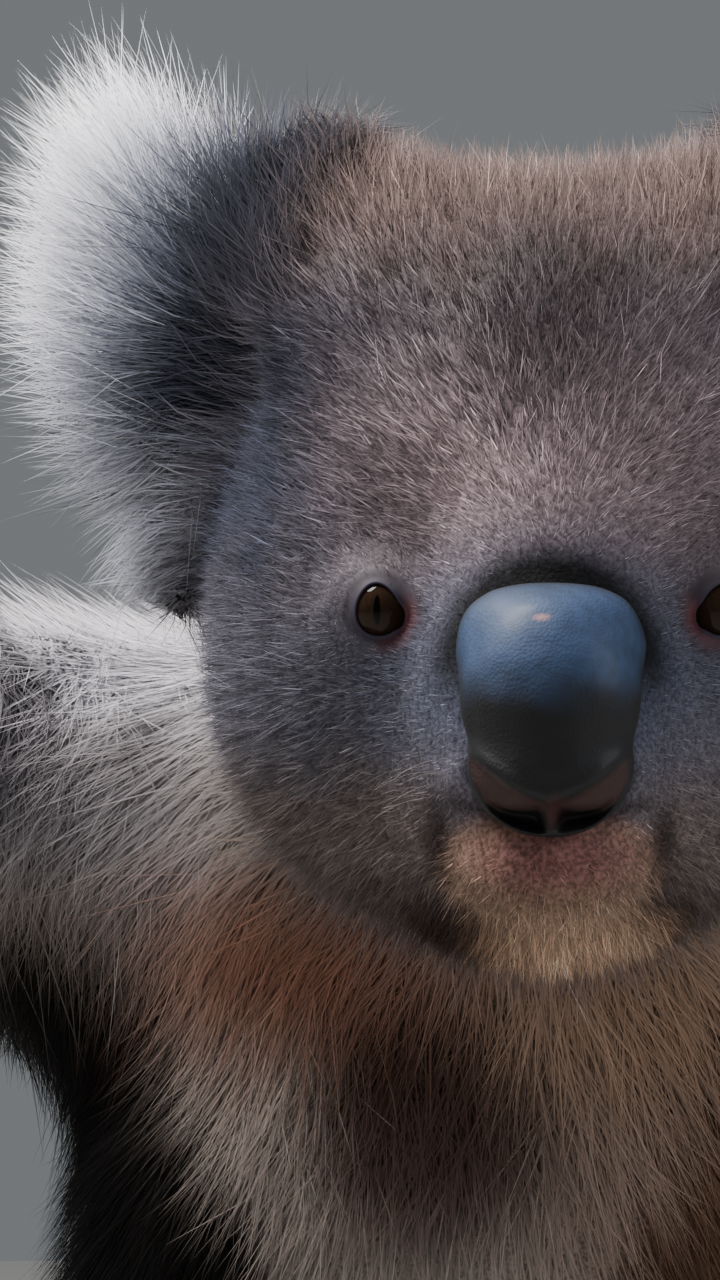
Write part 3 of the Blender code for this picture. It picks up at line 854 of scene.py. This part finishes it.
plainHair = {
    "joints": 1, "short": 1.0, "uneven": 0.18,  # bends, length as a share of the area's, and how it varies
    "stray": 12, "lift": 6, "bend": 0.8, "droop": 0.0,  # degrees aside and up, then how the hair curves
    "sway": 14, "swaySize": 0.022,  # degrees that whole patches turn aside, and their size
    "lock": 0.5, "lockOf": 14, "lockReach": 0.005, "loose": 0.0018,  # how hairs gather, and pass the outline
    "soft": 0.86, "sparkle": 0.11,  # shading like the skin's, and how it varies
    "grizzle": 0.24, "paleTips": 0.15, "palest": 1.4, "rootShade": 0.8,  # how brightness varies
}
faceHair = {
    "stray": 27, "lift": 12, "uneven": 0.28, "lock": 0.40, "lockOf": 10, "lockReach": 0.0018, "sparkle": 0.18,
    "grizzle": 0.52, "paleTips": 0.30, "palest": 1.45, "rootShade": 0.52, "sway": 30, "swaySize": 0.009,
    "short": 0.86,
}
earHair = {
    "joints": 2, "stray": 18, "lock": 0.15, "lockOf": 9, "bend": 0.9, "droop": 0.06, "grizzle": 0.14,
    "rootShade": 0.75, "loose": 0.0040, "sparkle": 0.08,
}
# What differs from plain hair in each piece of the coat, and how many hairs it has
coatPieces = {
    "coatFaceRight": (46000, faceHair),
    "coatFaceLeft": (42000, faceHair),
    "coatHead": (30000, {**faceHair, "lockReach": 0.002}),
    "coatEarRight": (18500, earHair),
    "coatEarLeft": (13000, earHair),
    "coatEarDown": (28000, {
        "stray": 22, "lift": 12, "lock": 0.3, "grizzle": 0.16, "rootShade": 0.7, "short": 0.6,
    }),
    "coatShoulders": (44000, {
        "grizzle": 0.08, "sparkle": 0.04, "rootShade": 0.9, "stray": 16, "lift": 7, "sway": 26,
        "swaySize": 0.014, "uneven": 0.24, "lock": 0.35, "soft": 0.93,
    }),
    "coatFront": (26000, {"grizzle": 0.14, "sparkle": 0.06, "soft": 0.92}),
    "coatBack": (26000, {}),
    "coatArms": (28000, {"grizzle": 0.14, "sparkle": 0.06, "rootShade": 0.85, "soft": 0.92}),
    "coatLegs": (25000, {}),
}
# Roughness, shine and sheen of each fur
furLooks = {"body_fur": ("bodyFur", 0.68, 0.05, 0.02), "ear_fur": ("earFur", 0.7, 0.03, 0.01)}


def pieceWeights(points, area, side):
    # Where each piece of the coat grows, and how densely
    x, _, z = fromEyes(points)
    head = areaMask(area, "head", "lower_jaw")
    head += areaMask(area, "nose") * (np.hypot(x / 16.5, (z + 14) / 18.5) > 1)  # round the bare nose
    face = head * (points[:, 1] < eyeLine[1] + 0.075)
    dense = face * (1.7 - 0.9 * step(0.03, 0.09, farFrom(points, eyeLine)))
    ear = areaMask(area, "ear")
    trunk = areaMask(area, "trunk", "neck")
    high = points[:, 2] > 0.30
    front = points[:, 1] < 0.0
    return {
        "coatFaceRight": dense * (x < 0),
        "coatFaceLeft": dense * (x >= 0),
        "coatHead": head - face,
        "coatEarRight": ear * (side < 0),
        "coatEarLeft": ear * (side > 0),
        "coatEarDown": ear,
        "coatShoulders": trunk * high,
        "coatFront": trunk * ~high * front,
        "coatBack": trunk * ~high * ~front,
        "coatArms": areaMask(area, "upper_arm", "forearm") + 2.2 * areaMask(area, "hand"),
        "coatLegs": areaMask(area, "thigh", "shin") + 2.2 * areaMask(area, "foot"),
    }


def hairLength(points, area, edges, length):
    # Short by the nose, the eyes and the wrists, longer on the crown and the chin
    head = areaMask(area, "head", "lower_jaw", "nose", "eye")
    paw = areaMask(area, "hand", "foot")
    away = farFrom(points, muzzle)
    short = 0.30 + 0.48 * step(0.022, 0.07, away) + 0.2 * step(0.08, 0.14, away)
    short = np.minimum(short, 0.24 + 0.76 * step(0.0105, 0.026, eyesNear(points)))
    length = length * (1 + (short - 1) * spread(head, edges, 4))
    length *= 1 - 0.5 * step(0.02, 0.4, spread(paw, edges, 40)) * (1 - paw)
    length *= 1 + 0.3 * head * step(0.055, 0.09, points[:, 2] - eyeLine[2])
    return length * (1 + 0.7 * faceBlob(points, 0, -57, (24, 40, 16), 0.4))


def hairShare(points, normals, area, near):
    # Thinner on the lip, none on the lids, the palms and the soles
    share = 1 - 0.3 * lipMask(points)
    for name, place in eyeMiddle.items():
        far = np.hypot(*((points - place) @ eyeFrame(name))[:, :2].T / np.array(eyeLook["opening"])[:, None])
        share *= np.where(near < 0.014, step(1.14, 1.32, far), 1) * (1 + 1.6 * step(0.020, 0.011, near))
    return share * (1 - areaMask(area, "hand", "foot") * step(-0.4, -0.7, normals[:, 2]))


def growCoat(skin, area, side):
    mesh = skin.data
    points, normals, edges = pointsOf(mesh), normalsOf(mesh), edgesOf(mesh)
    triangles, loops = trianglesOf(mesh)
    _, length, width, rise = spread(np.array(list(coatAreas.values()))[area], edges, 14).T
    near = eyesNear(points)
    ground = {
        "points": points, "normals": normals, "triangles": triangles, "loops": loops, "uv": unwrapped(skin),
        "flow": coatFlow(points, normals, area, side, edges),
        "length": hairLength(points, area, edges, length * mm),
        "width": width * mm * (1 - 0.4 * step(0.022, 0.011, near)),
        "rise": rise,
        "outline": outlineTree(),
    }
    rounds = {"hand": 30, "foot": 30}
    soft = {name: spread(areaMask(area, name), edges, rounds.get(name, 8)) for name in areaNames}
    # A hair takes its colours from where it starts and ends, and the skin from its own place
    for name, share in (("low", 0.1), ("high", 0.55)):
        place = points + ground["flow"] * ground["length"][:, None] * share
        ground[name] = coatColour(place, normals, soft, side)
    shade = 0.8 - 0.15 * step(0.022, 0.011, near)
    addColour(mesh, coatColour(points, normals, soft, side) * shade[:, None])
    furs = {slot: furMaterial(*look) for slot, look in furLooks.items()}
    weights = pieceWeights(points, area, side)
    share = hairShare(points, normals, area, near)
    for seed, (name, (count, changes)) in enumerate(coatPieces.items(), 20):
        piece = growHair(name, ground, weights[name] * share, count, {**plainHair, **changes}, seed)
        slot = "ear_fur" if "Ear" in name else "body_fur"
        piece.data.materials.append(furs[slot])
        finished(piece, slot)
        report("%s: %d hairs" % (name, count))


# The bare nose

noseLook = {
    "voxel": 0.00062,
    "rounding": 30,
    # Heights from the eyes in mm, at the sides and in the middle
    "frontEdge": (-28.0, -38.8),  # lower edge of the leather's front
    "bottom": (-30.0, -44.8),     # lower outline of the nose
    "nostrilDepth": 0.0062,
    "septum": (0.5, 2.2),         # half its width, sharp and soft
    "leather": paint(11, 11, 13),
    # Painted reflection of a pale sky, blue-grey on the top of the nose
    "upper": paint(38, 54, 80),
    "wall": paint(38, 21, 18),    # inside the nostrils
    # Painted shade deep in the nostrils
    "dark": paint(10, 8, 8),
    "pink": paint(46, 9, 12),     # on the septum
    "nick": paint(130, 96, 96),
}


def noseMasks(points):
    # The nostrils' pits, what lies below the leather's front, the depth of the wall, and places
    x, _, z = fromEyes(points)
    x = np.abs(x)
    side = np.clip(x / 17.2, 0, 1.1)
    high, low = noseLook["frontEdge"]
    edge = low + (high - low) * side ** 1.5
    high, low = noseLook["bottom"]
    bottom = low + (high - low) * side ** 3.2
    below = step(0.15, -0.55, z - edge)
    above = step(-0.3, 0.6, z - bottom)
    pit = below * above * step(*noseLook["septum"], x) * step(18.4, 16.8, x)
    wall = np.interp(x, [2, 8, 15], [2.6, 6.2, 9.5])  # how far down the pink wall reaches
    return pit, below, wall, edge - z, x


def noseMaterial():
    inputs = {"Specular IOR Level": 0.22, "Coat Weight": 0.05, "Coat Roughness": 0.25}
    material, tree, shader = newMaterial("noseLeather", 0.68, None, inputs)
    place = addNode(tree, "ShaderNodeTexCoord").outputs["Object"]
    pebbles = addNode(tree, "ShaderNodeTexVoronoi", {"Vector": place, "Scale": 1500}).outputs["Distance"]
    grain = addNode(tree, "ShaderNodeTexNoise", {"Vector": place, "Scale": 260}).outputs["Fac"]
    total = addNode(tree, "ShaderNodeMath", {0: pebbles, 1: grain}, operation="ADD").outputs["Value"]
    addBump(tree, shader, total, 0.35, 0.0002)
    return material


def makeNose():
    piece = oneSurface(mergedCopy("nose"), noseLook["voxel"])
    piece.name = "noseLeather"
    mesh = piece.data
    edges = edgesOf(mesh)
    points = spread(pointsOf(mesh), edges, noseLook["rounding"])
    x, _, z = fromEyes(points)
    points[:, 0] += x * mm * (0.05 * np.exp(-((z + 12) / 9) ** 2) - 0.03 * np.exp(-((z + 27) / 4) ** 2))
    points[:, 2] -= np.maximum(z + 2, 0) ** 2 * mm * 0.032
    setPoints(mesh, points)
    points += normalsOf(mesh) * 0.0002
    setPoints(mesh, points)
    normals = normalsOf(mesh)
    front = step(0.15, 0.55, -normals[:, 1])
    pit, below, wall, drop, x = noseMasks(points)
    deep = pit * front * (0.14 + 0.86 * step(wall - 2.5, wall + 1.5, drop))
    lip = np.exp(-((drop + 1.5) / 1.7) ** 2) * front * step(18, 14, x)
    points[:, 1] += deep * noseLook["nostrilDepth"] + below * front * 0.0012 - lip * 0.0007
    points[:, 2] += deep * 0.0018
    points = spread(points, edges, 6, 0.35)
    setPoints(mesh, points)
    # Blue-grey above as a painted reflection of a pale sky, black below, pink-brown walls in the nostrils
    # with painted shade deep in their pits
    _, _, z = fromEyes(points)
    # Painted sky reflection on the upper nose
    upper = step(-21, -9, z + wobble(points, 0.012, 4) * 2) * step(-0.1, 0.6, -normals[:, 1])
    low = drop - wall + wobble(points, 0.004, 6) * 1.3
    face = (eyeLine[1] - noseFront) * 1000
    colour = np.tile(noseLook["leather"], (len(points), 1))
    for name, mask in {
        "upper": upper * (0.85 + 0.15 * wobble(points, 0.003, 9)),
        "wall": front * pit * step(0.5, -1.0, low),
        # Painted shade in the deep part of the pits
        "dark": front * pit * step(-0.9, 0.5, low),
        "pink": faceBlob(points, 0.8, -40.5, (2, 20, 3), 0.8, face) * 0.7,
        "nick": faceBlob(points, -1.8, -2, (1.6, 30, 0.6), 0.6, face - 10) * 0.7,
    }.items():
        colour = tinted(colour, noseLook[name], mask)
    addColour(mesh, colour)
    mesh.shade_smooth()
    mesh.materials.append(noseMaterial())
    finished(piece, "nose_leather", "nose")


# Eyes and lids

eyeLook = {
    "gaze": (9, -3),          # degrees outward and up
    "cornea": 0.0007,         # how far it stands out
    "iris": 0.0062,           # radius
    "pupil": (0.0007, 0.0030),  # half its width and height
    "opening": (0.00465, 0.00535),  # half the width and height between the lids
    "turn": 9,                # of the opening, its top outward
}


def gridMesh(name, rings, joined=False):
    # Rings of one point close the ends; joined rings meet again at the first
    points, faces, starts = [], [], []
    for ring in rings:
        starts.append(len(points))
        points += [tuple(p) for p in ring]
    for r in range(len(rings) - 1 + joined):
        s = (r + 1) % len(rings)
        n, m, a, b = len(rings[r]), len(rings[s]), starts[r], starts[s]
        for k in range(max(n, m)):
            j = (k + 1) % max(n, m)
            if n == 1:
                faces.append((a, b + k, b + j))
            elif m == 1:
                faces.append((a + k, b, a + j))
            else:
                faces.append((a + k, b + k, b + j, a + j))
    mesh = bpy.data.meshes.new(name)
    mesh.from_pydata(points, [], faces)
    mesh.shade_smooth()
    return mesh


def eyeFrame(side):
    # Columns: out to the side, up, and forward along the gaze
    out, up = np.radians(eyeLook["gaze"])
    ahead = np.array([sides[side] * math.sin(out), -math.cos(out) * math.cos(up), math.sin(up)])
    across = unit(np.cross(ahead, [0, 0, 1]))
    return np.stack([across, np.cross(across, ahead), ahead], axis=1)


def corneaRise(angle):
    return eyeLook["cornea"] * step(math.radians(46), math.radians(12), angle)


def makeEye(side, material):
    around = np.linspace(0, 2 * np.pi, 65)[:-1]
    circle = np.stack([np.cos(around), np.sin(around)], axis=1)
    rings = []
    for k in range(49):
        angle = math.pi * (k / 48) ** 1.5
        reach = eyeRadius - 0.0001 + corneaRise(angle)
        ring = np.c_[circle * reach * math.sin(angle), np.full(64, reach * math.cos(angle))]
        rings.append(ring if 0 < k < 48 else ring[:1])
    local = np.concatenate(rings)
    mesh = gridMesh("eyeball_" + side, rings)
    place = mesh.attributes.new("gaze", "FLOAT_VECTOR", "POINT")
    place.data.foreach_set("vector", (local * 1000).ravel())
    setPoints(mesh, local @ eyeFrame(side).T + eyeMiddle[side])
    faceOut(mesh)
    mesh.materials.append(material)
    finished(addPiece("eyeball_" + side, mesh), "eye", "eye_" + side)


def faceOut(mesh):
    bm = bmesh.new()
    bm.from_mesh(mesh)
    bmesh.ops.recalc_face_normals(bm, faces=bm.faces)
    bm.to_mesh(mesh)
    bm.free()


def irisGroup():
    # From a place on the eyeball: the pupil, the dark rim of the iris, and its fine rays
    group = bpy.data.node_groups.new("irisMasks", "ShaderNodeTree")
    group.interface.new_socket("Place", in_out="INPUT", socket_type="NodeSocketVector")
    for name in ("Pupil", "Rim", "Rays"):
        group.interface.new_socket(name, in_out="OUTPUT", socket_type="NodeSocketFloat")

    def calc(operation, *values):
        return addNode(group, "ShaderNodeMath", dict(enumerate(values)), operation=operation).outputs[0]

    def ranged(*values):
        return addNode(group, "ShaderNodeMapRange", dict(enumerate(values))).outputs[0]

    place = addNode(group, "NodeGroupInput").outputs["Place"]
    across, up, _ = addNode(group, "ShaderNodeSeparateXYZ", {0: place}).outputs
    wide, tall, iris = (value * 1000 for value in (*eyeLook["pupil"], eyeLook["iris"]))
    aside = calc("POWER", calc("DIVIDE", across, wide), 2.0)
    above = calc("POWER", calc("DIVIDE", up, tall), 2.0)
    flat = addNode(group, "ShaderNodeVectorMath", {0: place, 1: (1, 1, 0)}, operation="MULTIPLY").outputs[0]
    far = addNode(group, "ShaderNodeVectorMath", {0: flat}, operation="LENGTH").outputs["Value"]
    angle = calc("MULTIPLY", calc("ARCTAN2", across, up), 6.0)
    polar = addNode(group, "ShaderNodeCombineXYZ", {0: angle, 1: calc("MULTIPLY", far, 0.35)}).outputs[0]
    rays = addNode(group, "ShaderNodeTexNoise", {"Vector": polar, "Scale": 2.2, "Detail": 3}).outputs["Fac"]
    addNode(group, "NodeGroupOutput", {
        "Pupil": ranged(calc("ADD", aside, above), 0.8, 1.25, 1.0, 0.0),
        "Rim": ranged(far, iris * 0.62, iris * 0.95, 0.0, 1.0),
        "Rays": rays,
    })
    return group


def eyeMaterial():
    inputs = {"Specular IOR Level": 0.0, "Coat Weight": 0.16, "Coat Roughness": 0.03}
    dark, pale, rim, pupil = ((*paint(*c), 1) for c in ((14, 9, 7), (42, 29, 20), (16, 10, 8), (3, 3, 3)))
    material, tree, shader = newMaterial("eyeball", 0.12, pale[:3], inputs)
    place = addNode(tree, "ShaderNodeAttribute", attribute_name="gaze").outputs["Vector"]
    masks = addNode(tree, "ShaderNodeGroup", {"Place": place}, node_tree=irisGroup())
    colour = dark
    for name, over in {"Rays": pale, "Rim": rim, "Pupil": pupil}.items():
        mix = {0: masks.outputs[name], 6: colour, 7: over}
        colour = addNode(tree, "ShaderNodeMix", mix, data_type="RGBA").outputs[2]
    setInputs(tree, shader, {"Base Color": colour})
    return material


def lidOpening(side):
    # The opening's outline seen along the gaze, its inner corner's share, and how thick the lid is there
    around = np.linspace(0, 2 * np.pi, 73)[:-1]
    wide, tall = eyeLook["opening"]
    tilt = math.radians(eyeLook["turn"])
    inner = step(0.80, 1.0, np.cos(around) * 0.9 - np.sin(around) * 0.45)
    x = wide * np.cos(around) * (1 - 0.17 * np.sin(around)) * (1 + 0.12 * inner)
    y = tall * np.sin(around) * (1 + 0.12 * inner)
    x, y = x * math.cos(tilt) - y * math.sin(tilt), y * math.cos(tilt) + x * math.sin(tilt)
    return np.stack([x * sides[side], y], axis=1), inner, 1 + 0.35 * step(-0.2, 0.9, y / tall)


def makeLids(side, material, face):
    # A soft rim round the opening, thicker above, which runs out onto the skin of the face
    turn = eyeFrame(side)
    opening, inner, thick = lidOpening(side)
    reach = np.linalg.norm(opening, axis=1)
    way = opening / reach[:, None]

    def ballLevel(out):
        angle = np.arcsin(np.clip((reach + out) / eyeRadius, 0, 1))
        return np.cos(angle) * (eyeRadius + corneaRise(angle))

    def skinLevel(out):
        level = np.empty(len(reach))
        for i, place in enumerate(way * (reach + out)[:, None]):
            hit = face.ray_cast(Vector(turn @ [*place, 0.03] + eyeMiddle[side]), Vector(-turn[:, 2]))[0]
            level[i] = (np.array(hit) - eyeMiddle[side]) @ turn[:, 2]
        return level

    rim = ballLevel(0.0004) + 0.00062 * thick
    outer = skinLevel(0.0034)

    def bridge(out, share):
        return np.maximum(rim * share + outer * (1 - share), skinLevel(out) + 0.00018)

    rings = [
        # out from the opening, and forward of the eyeball's middle
        (-0.0003, ballLevel(-0.0003) - 0.0003),
        (-0.00015, ballLevel(0) + 0.0002),
        (0.00008, ballLevel(0) + 0.00048 * thick),
        (0.0004, rim),
        (0.0008, rim * 0.85 + outer * 0.15 - 0.00006),
        (0.0013, bridge(0.0013, 0.62)),
        (0.0020, bridge(0.0020, 0.36)),
        (0.0028, bridge(0.0028, 0.12)),
        (0.0036, skinLevel(0.0036) + 0.00006),
        (0.0044, skinLevel(0.0044) - 0.0004),
        (0.0034, outer - 0.0026),
        (0.0009, ballLevel(0.0009) - 0.0010),
    ]
    local = [np.c_[way * (reach + out)[:, None], level] for out, level in rings]
    mesh = gridMesh("lids_" + side, local, joined=True)
    points = np.concatenate(local) @ turn.T + eyeMiddle[side]
    setPoints(mesh, points)
    faceOut(mesh)
    soft = {name: np.full(len(points), float(name == "head")) for name in areaNames}
    # The coat's colours darkened as painted shade, like the shadow among the hairs round the eye
    colour = coatColour(points, points * 0, soft, np.full(len(points), sides[side])) * 0.62
    ring = np.repeat(np.arange(len(rings)), len(reach))
    colour = tinted(colour, paint(44, 40, 51), np.interp(ring, [2, 3, 4, 5], [0.9, 0.8, 0.3, 0]))
    colour = tinted(colour, paint(70, 38, 43), np.tile(inner, len(rings)) * (ring < 6) * 0.8)
    colour = tinted(colour, paint(18, 13, 15), np.isin(ring, (0, 1, len(rings) - 1)) * 0.85)
    addColour(mesh, colour)
    mesh.materials.append(material)
    finished(addPiece("lids_" + side, mesh), "body_fur")


# Claws and whiskers: tubes that taper along a path

def taperTree(name, steps, around):
    # Each run of joined points becomes a closed tube whose thickness follows the points' own
    tree = bpy.data.node_groups.new(name, "GeometryNodeTree")
    socket = tree.interface.new_socket
    socket("Geometry", in_out="INPUT", socket_type="NodeSocketGeometry")
    thickness = socket("Thickness", in_out="INPUT", socket_type="NodeSocketFloat")
    coating = socket("Material", in_out="INPUT", socket_type="NodeSocketMaterial")
    socket("Geometry", in_out="OUTPUT", socket_type="NodeSocketGeometry")

    def node(kind, inputs, **settings):
        return addNode(tree, kind, inputs, **settings).outputs[0]

    start = addNode(tree, "NodeGroupInput").outputs
    thick = node("GeometryNodeInputNamedAttribute", {"Name": "thick"}, data_type="FLOAT")
    radius = node("ShaderNodeMath", {0: thick, 1: start["Thickness"]}, operation="MULTIPLY")
    curve = node("GeometryNodeMeshToCurve", {"Mesh": start["Geometry"]})
    curve = node("GeometryNodeCurveSplineType", {"Curve": curve}, spline_type="CATMULL_ROM")
    curve = node("GeometryNodeResampleCurve", {"Curve": curve, "Count": steps})
    curve = node("GeometryNodeSetCurveRadius", {"Curve": curve, "Radius": radius})
    ring = node("GeometryNodeCurvePrimitiveCircle", {"Resolution": around, "Radius": 1.0})
    tube = {"Curve": curve, "Profile Curve": ring, "Scale": radius, "Fill Caps": True}
    mesh = node("GeometryNodeCurveToMesh", tube)
    mesh = node("GeometryNodeSetShadeSmooth", {"Geometry": mesh})
    mesh = node("GeometryNodeRealizeInstances", {"Geometry": mesh})
    mesh = node("GeometryNodeSetMaterial", {"Geometry": mesh, "Material": start["Material"]})
    addNode(tree, "NodeGroupOutput", {"Geometry": mesh})
    return tree, thickness.identifier, coating.identifier


def tubesAlong(name, paths, radii, tree, material, thickness=1.0):
    points, edges = [], []
    for path in paths:
        edges += [(len(points) + i, len(points) + i + 1) for i in range(len(path) - 1)]
        points += [tuple(p) for p in path]
    mesh = bpy.data.meshes.new(name)
    mesh.from_pydata(points, edges, [])
    mesh.attributes.new("thick", "FLOAT", "POINT").data.foreach_set("value", np.ravel(radii))
    piece = addPiece(name, mesh)
    modifier = piece.modifiers.new("tubes", "NODES")
    modifier.node_group, thicknessKey, materialKey = tree
    modifier[thicknessKey] = thickness
    modifier[materialKey] = material
    applied(piece)
    faceOut(piece.data)
    return piece


def clawPath(name):
    # Root to tip along the solid's own bend, from the middles of slices across it
    points = pointsOf(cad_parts[name].data)
    middle = points.mean(axis=0)
    axis = np.linalg.svd(points - middle, full_matrices=False)[2][0]
    paw = "_".join(name.split("_")[1:3])
    axis *= np.sign((middle - middleOf(paw)) @ axis)
    along = (points - middle) @ axis
    low, high = along.min(), along.max()
    path, radius = [], []
    for share in (0.0, 0.3, 0.55, 0.78, 1.0):
        place = low + (high - low) * share
        near = points[np.abs(along - place) < (high - low) * (0.12 if share in (0, 1) else 0.2)]
        path.append(near.mean(axis=0) + axis * (place - ((near - middle) @ axis).mean()))
        aside = near - near.mean(axis=0)
        aside -= (aside @ axis)[:, None] * axis
        radius.append(np.linalg.norm(aside, axis=1).mean())
    path[0] -= (path[1] - path[0]) * 0.35  # the root goes on into the paw
    radius[-1] = 0.00025
    return path, radius


def makeClaws():
    material = newMaterial("claw", 0.34, paint(40, 35, 32), {"Coat Weight": 0.3})[0]
    tree = taperTree("clawTubes", 12, 14)
    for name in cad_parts:
        if name.startswith("claw"):
            path, radius = clawPath(name)
            finished(tubesAlong(name + "_horn", [path], [radius], tree, material), "claw", name)


whiskerLook = {
    # thickness in mm; where they start across and up from the eyes; how they point out, ahead and up
    "dark": {
        "count": 7, "length": 0.040, "thick": 0.13, "colour": paint(20, 17, 17),
        "across": (0.030, 0.048), "up": (-0.036, -0.016), "out": 0.95, "ahead": 0.20, "rise": (-0.5, 0.35),
    },
    "pale": {
        "count": 8, "length": 0.014, "thick": 0.07, "colour": paint(118, 108, 102),
        "across": (0.020, 0.026), "up": (-0.040, -0.030), "out": 0.9, "ahead": 0.55, "rise": (-0.35, 0.4),
    },
}


def makeWhiskers(tree, face):
    chance = np.random.default_rng(5)
    for name, look in whiskerLook.items():
        paths = []
        for sign in np.repeat(list(sides.values()), look["count"]):
            across, up = sign * chance.uniform(*look["across"]), chance.uniform(*look["up"])
            way = unit(np.array([sign * look["out"], -look["ahead"], chance.uniform(*look["rise"])]))
            start = Vector((eyeLine[0] + across, noseFront - 0.05, eyeLine[2] + up))
            root = np.array(face.ray_cast(start, Vector((0, 1, 0)))[0])
            length = look["length"] * chance.uniform(0.7, 1.15)
            sag = np.array([0, 0.25, -0.35])
            paths.append([root + (way * t + sag * t * t) * length for t in (0, 0.35, 0.7, 1.0)])
        radii = [np.array([1.0, 0.9, 0.6, 0.15]) * look["thick"] * mm / 2] * len(paths)
        material = newMaterial(name + "Whisker", 0.4, look["colour"])[0]
        finished(tubesAlong(name + "Whiskers", paths, radii, tree, material), "body_fur")


def report(text):
    print("koala:", text)


addCamera()
addLights()
addFloor()
report("camera, light and floor")
skin, area, side = buildSkin()
report("skin of %d points" % len(area))
growCoat(skin, area, side)
skin.data.materials.append(skinMaterial())
skin.data.shade_smooth()
finished(skin, "body_fur", *[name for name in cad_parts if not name.startswith(("eye", "nose", "claw"))])
makeNose()
report("nose")
faceTree = treeOf(skin.data)
eyeballs = eyeMaterial()
lids = newMaterial("lids", 0.65, None, {"Specular IOR Level": 0.12})[0]
for name in sides:
    makeEye(name, eyeballs)
    makeLids(name, lids, faceTree)
report("eyes and lids")
makeClaws()
makeWhiskers(taperTree("whiskerTubes", 9, 5), faceTree)
report("claws and whiskers")
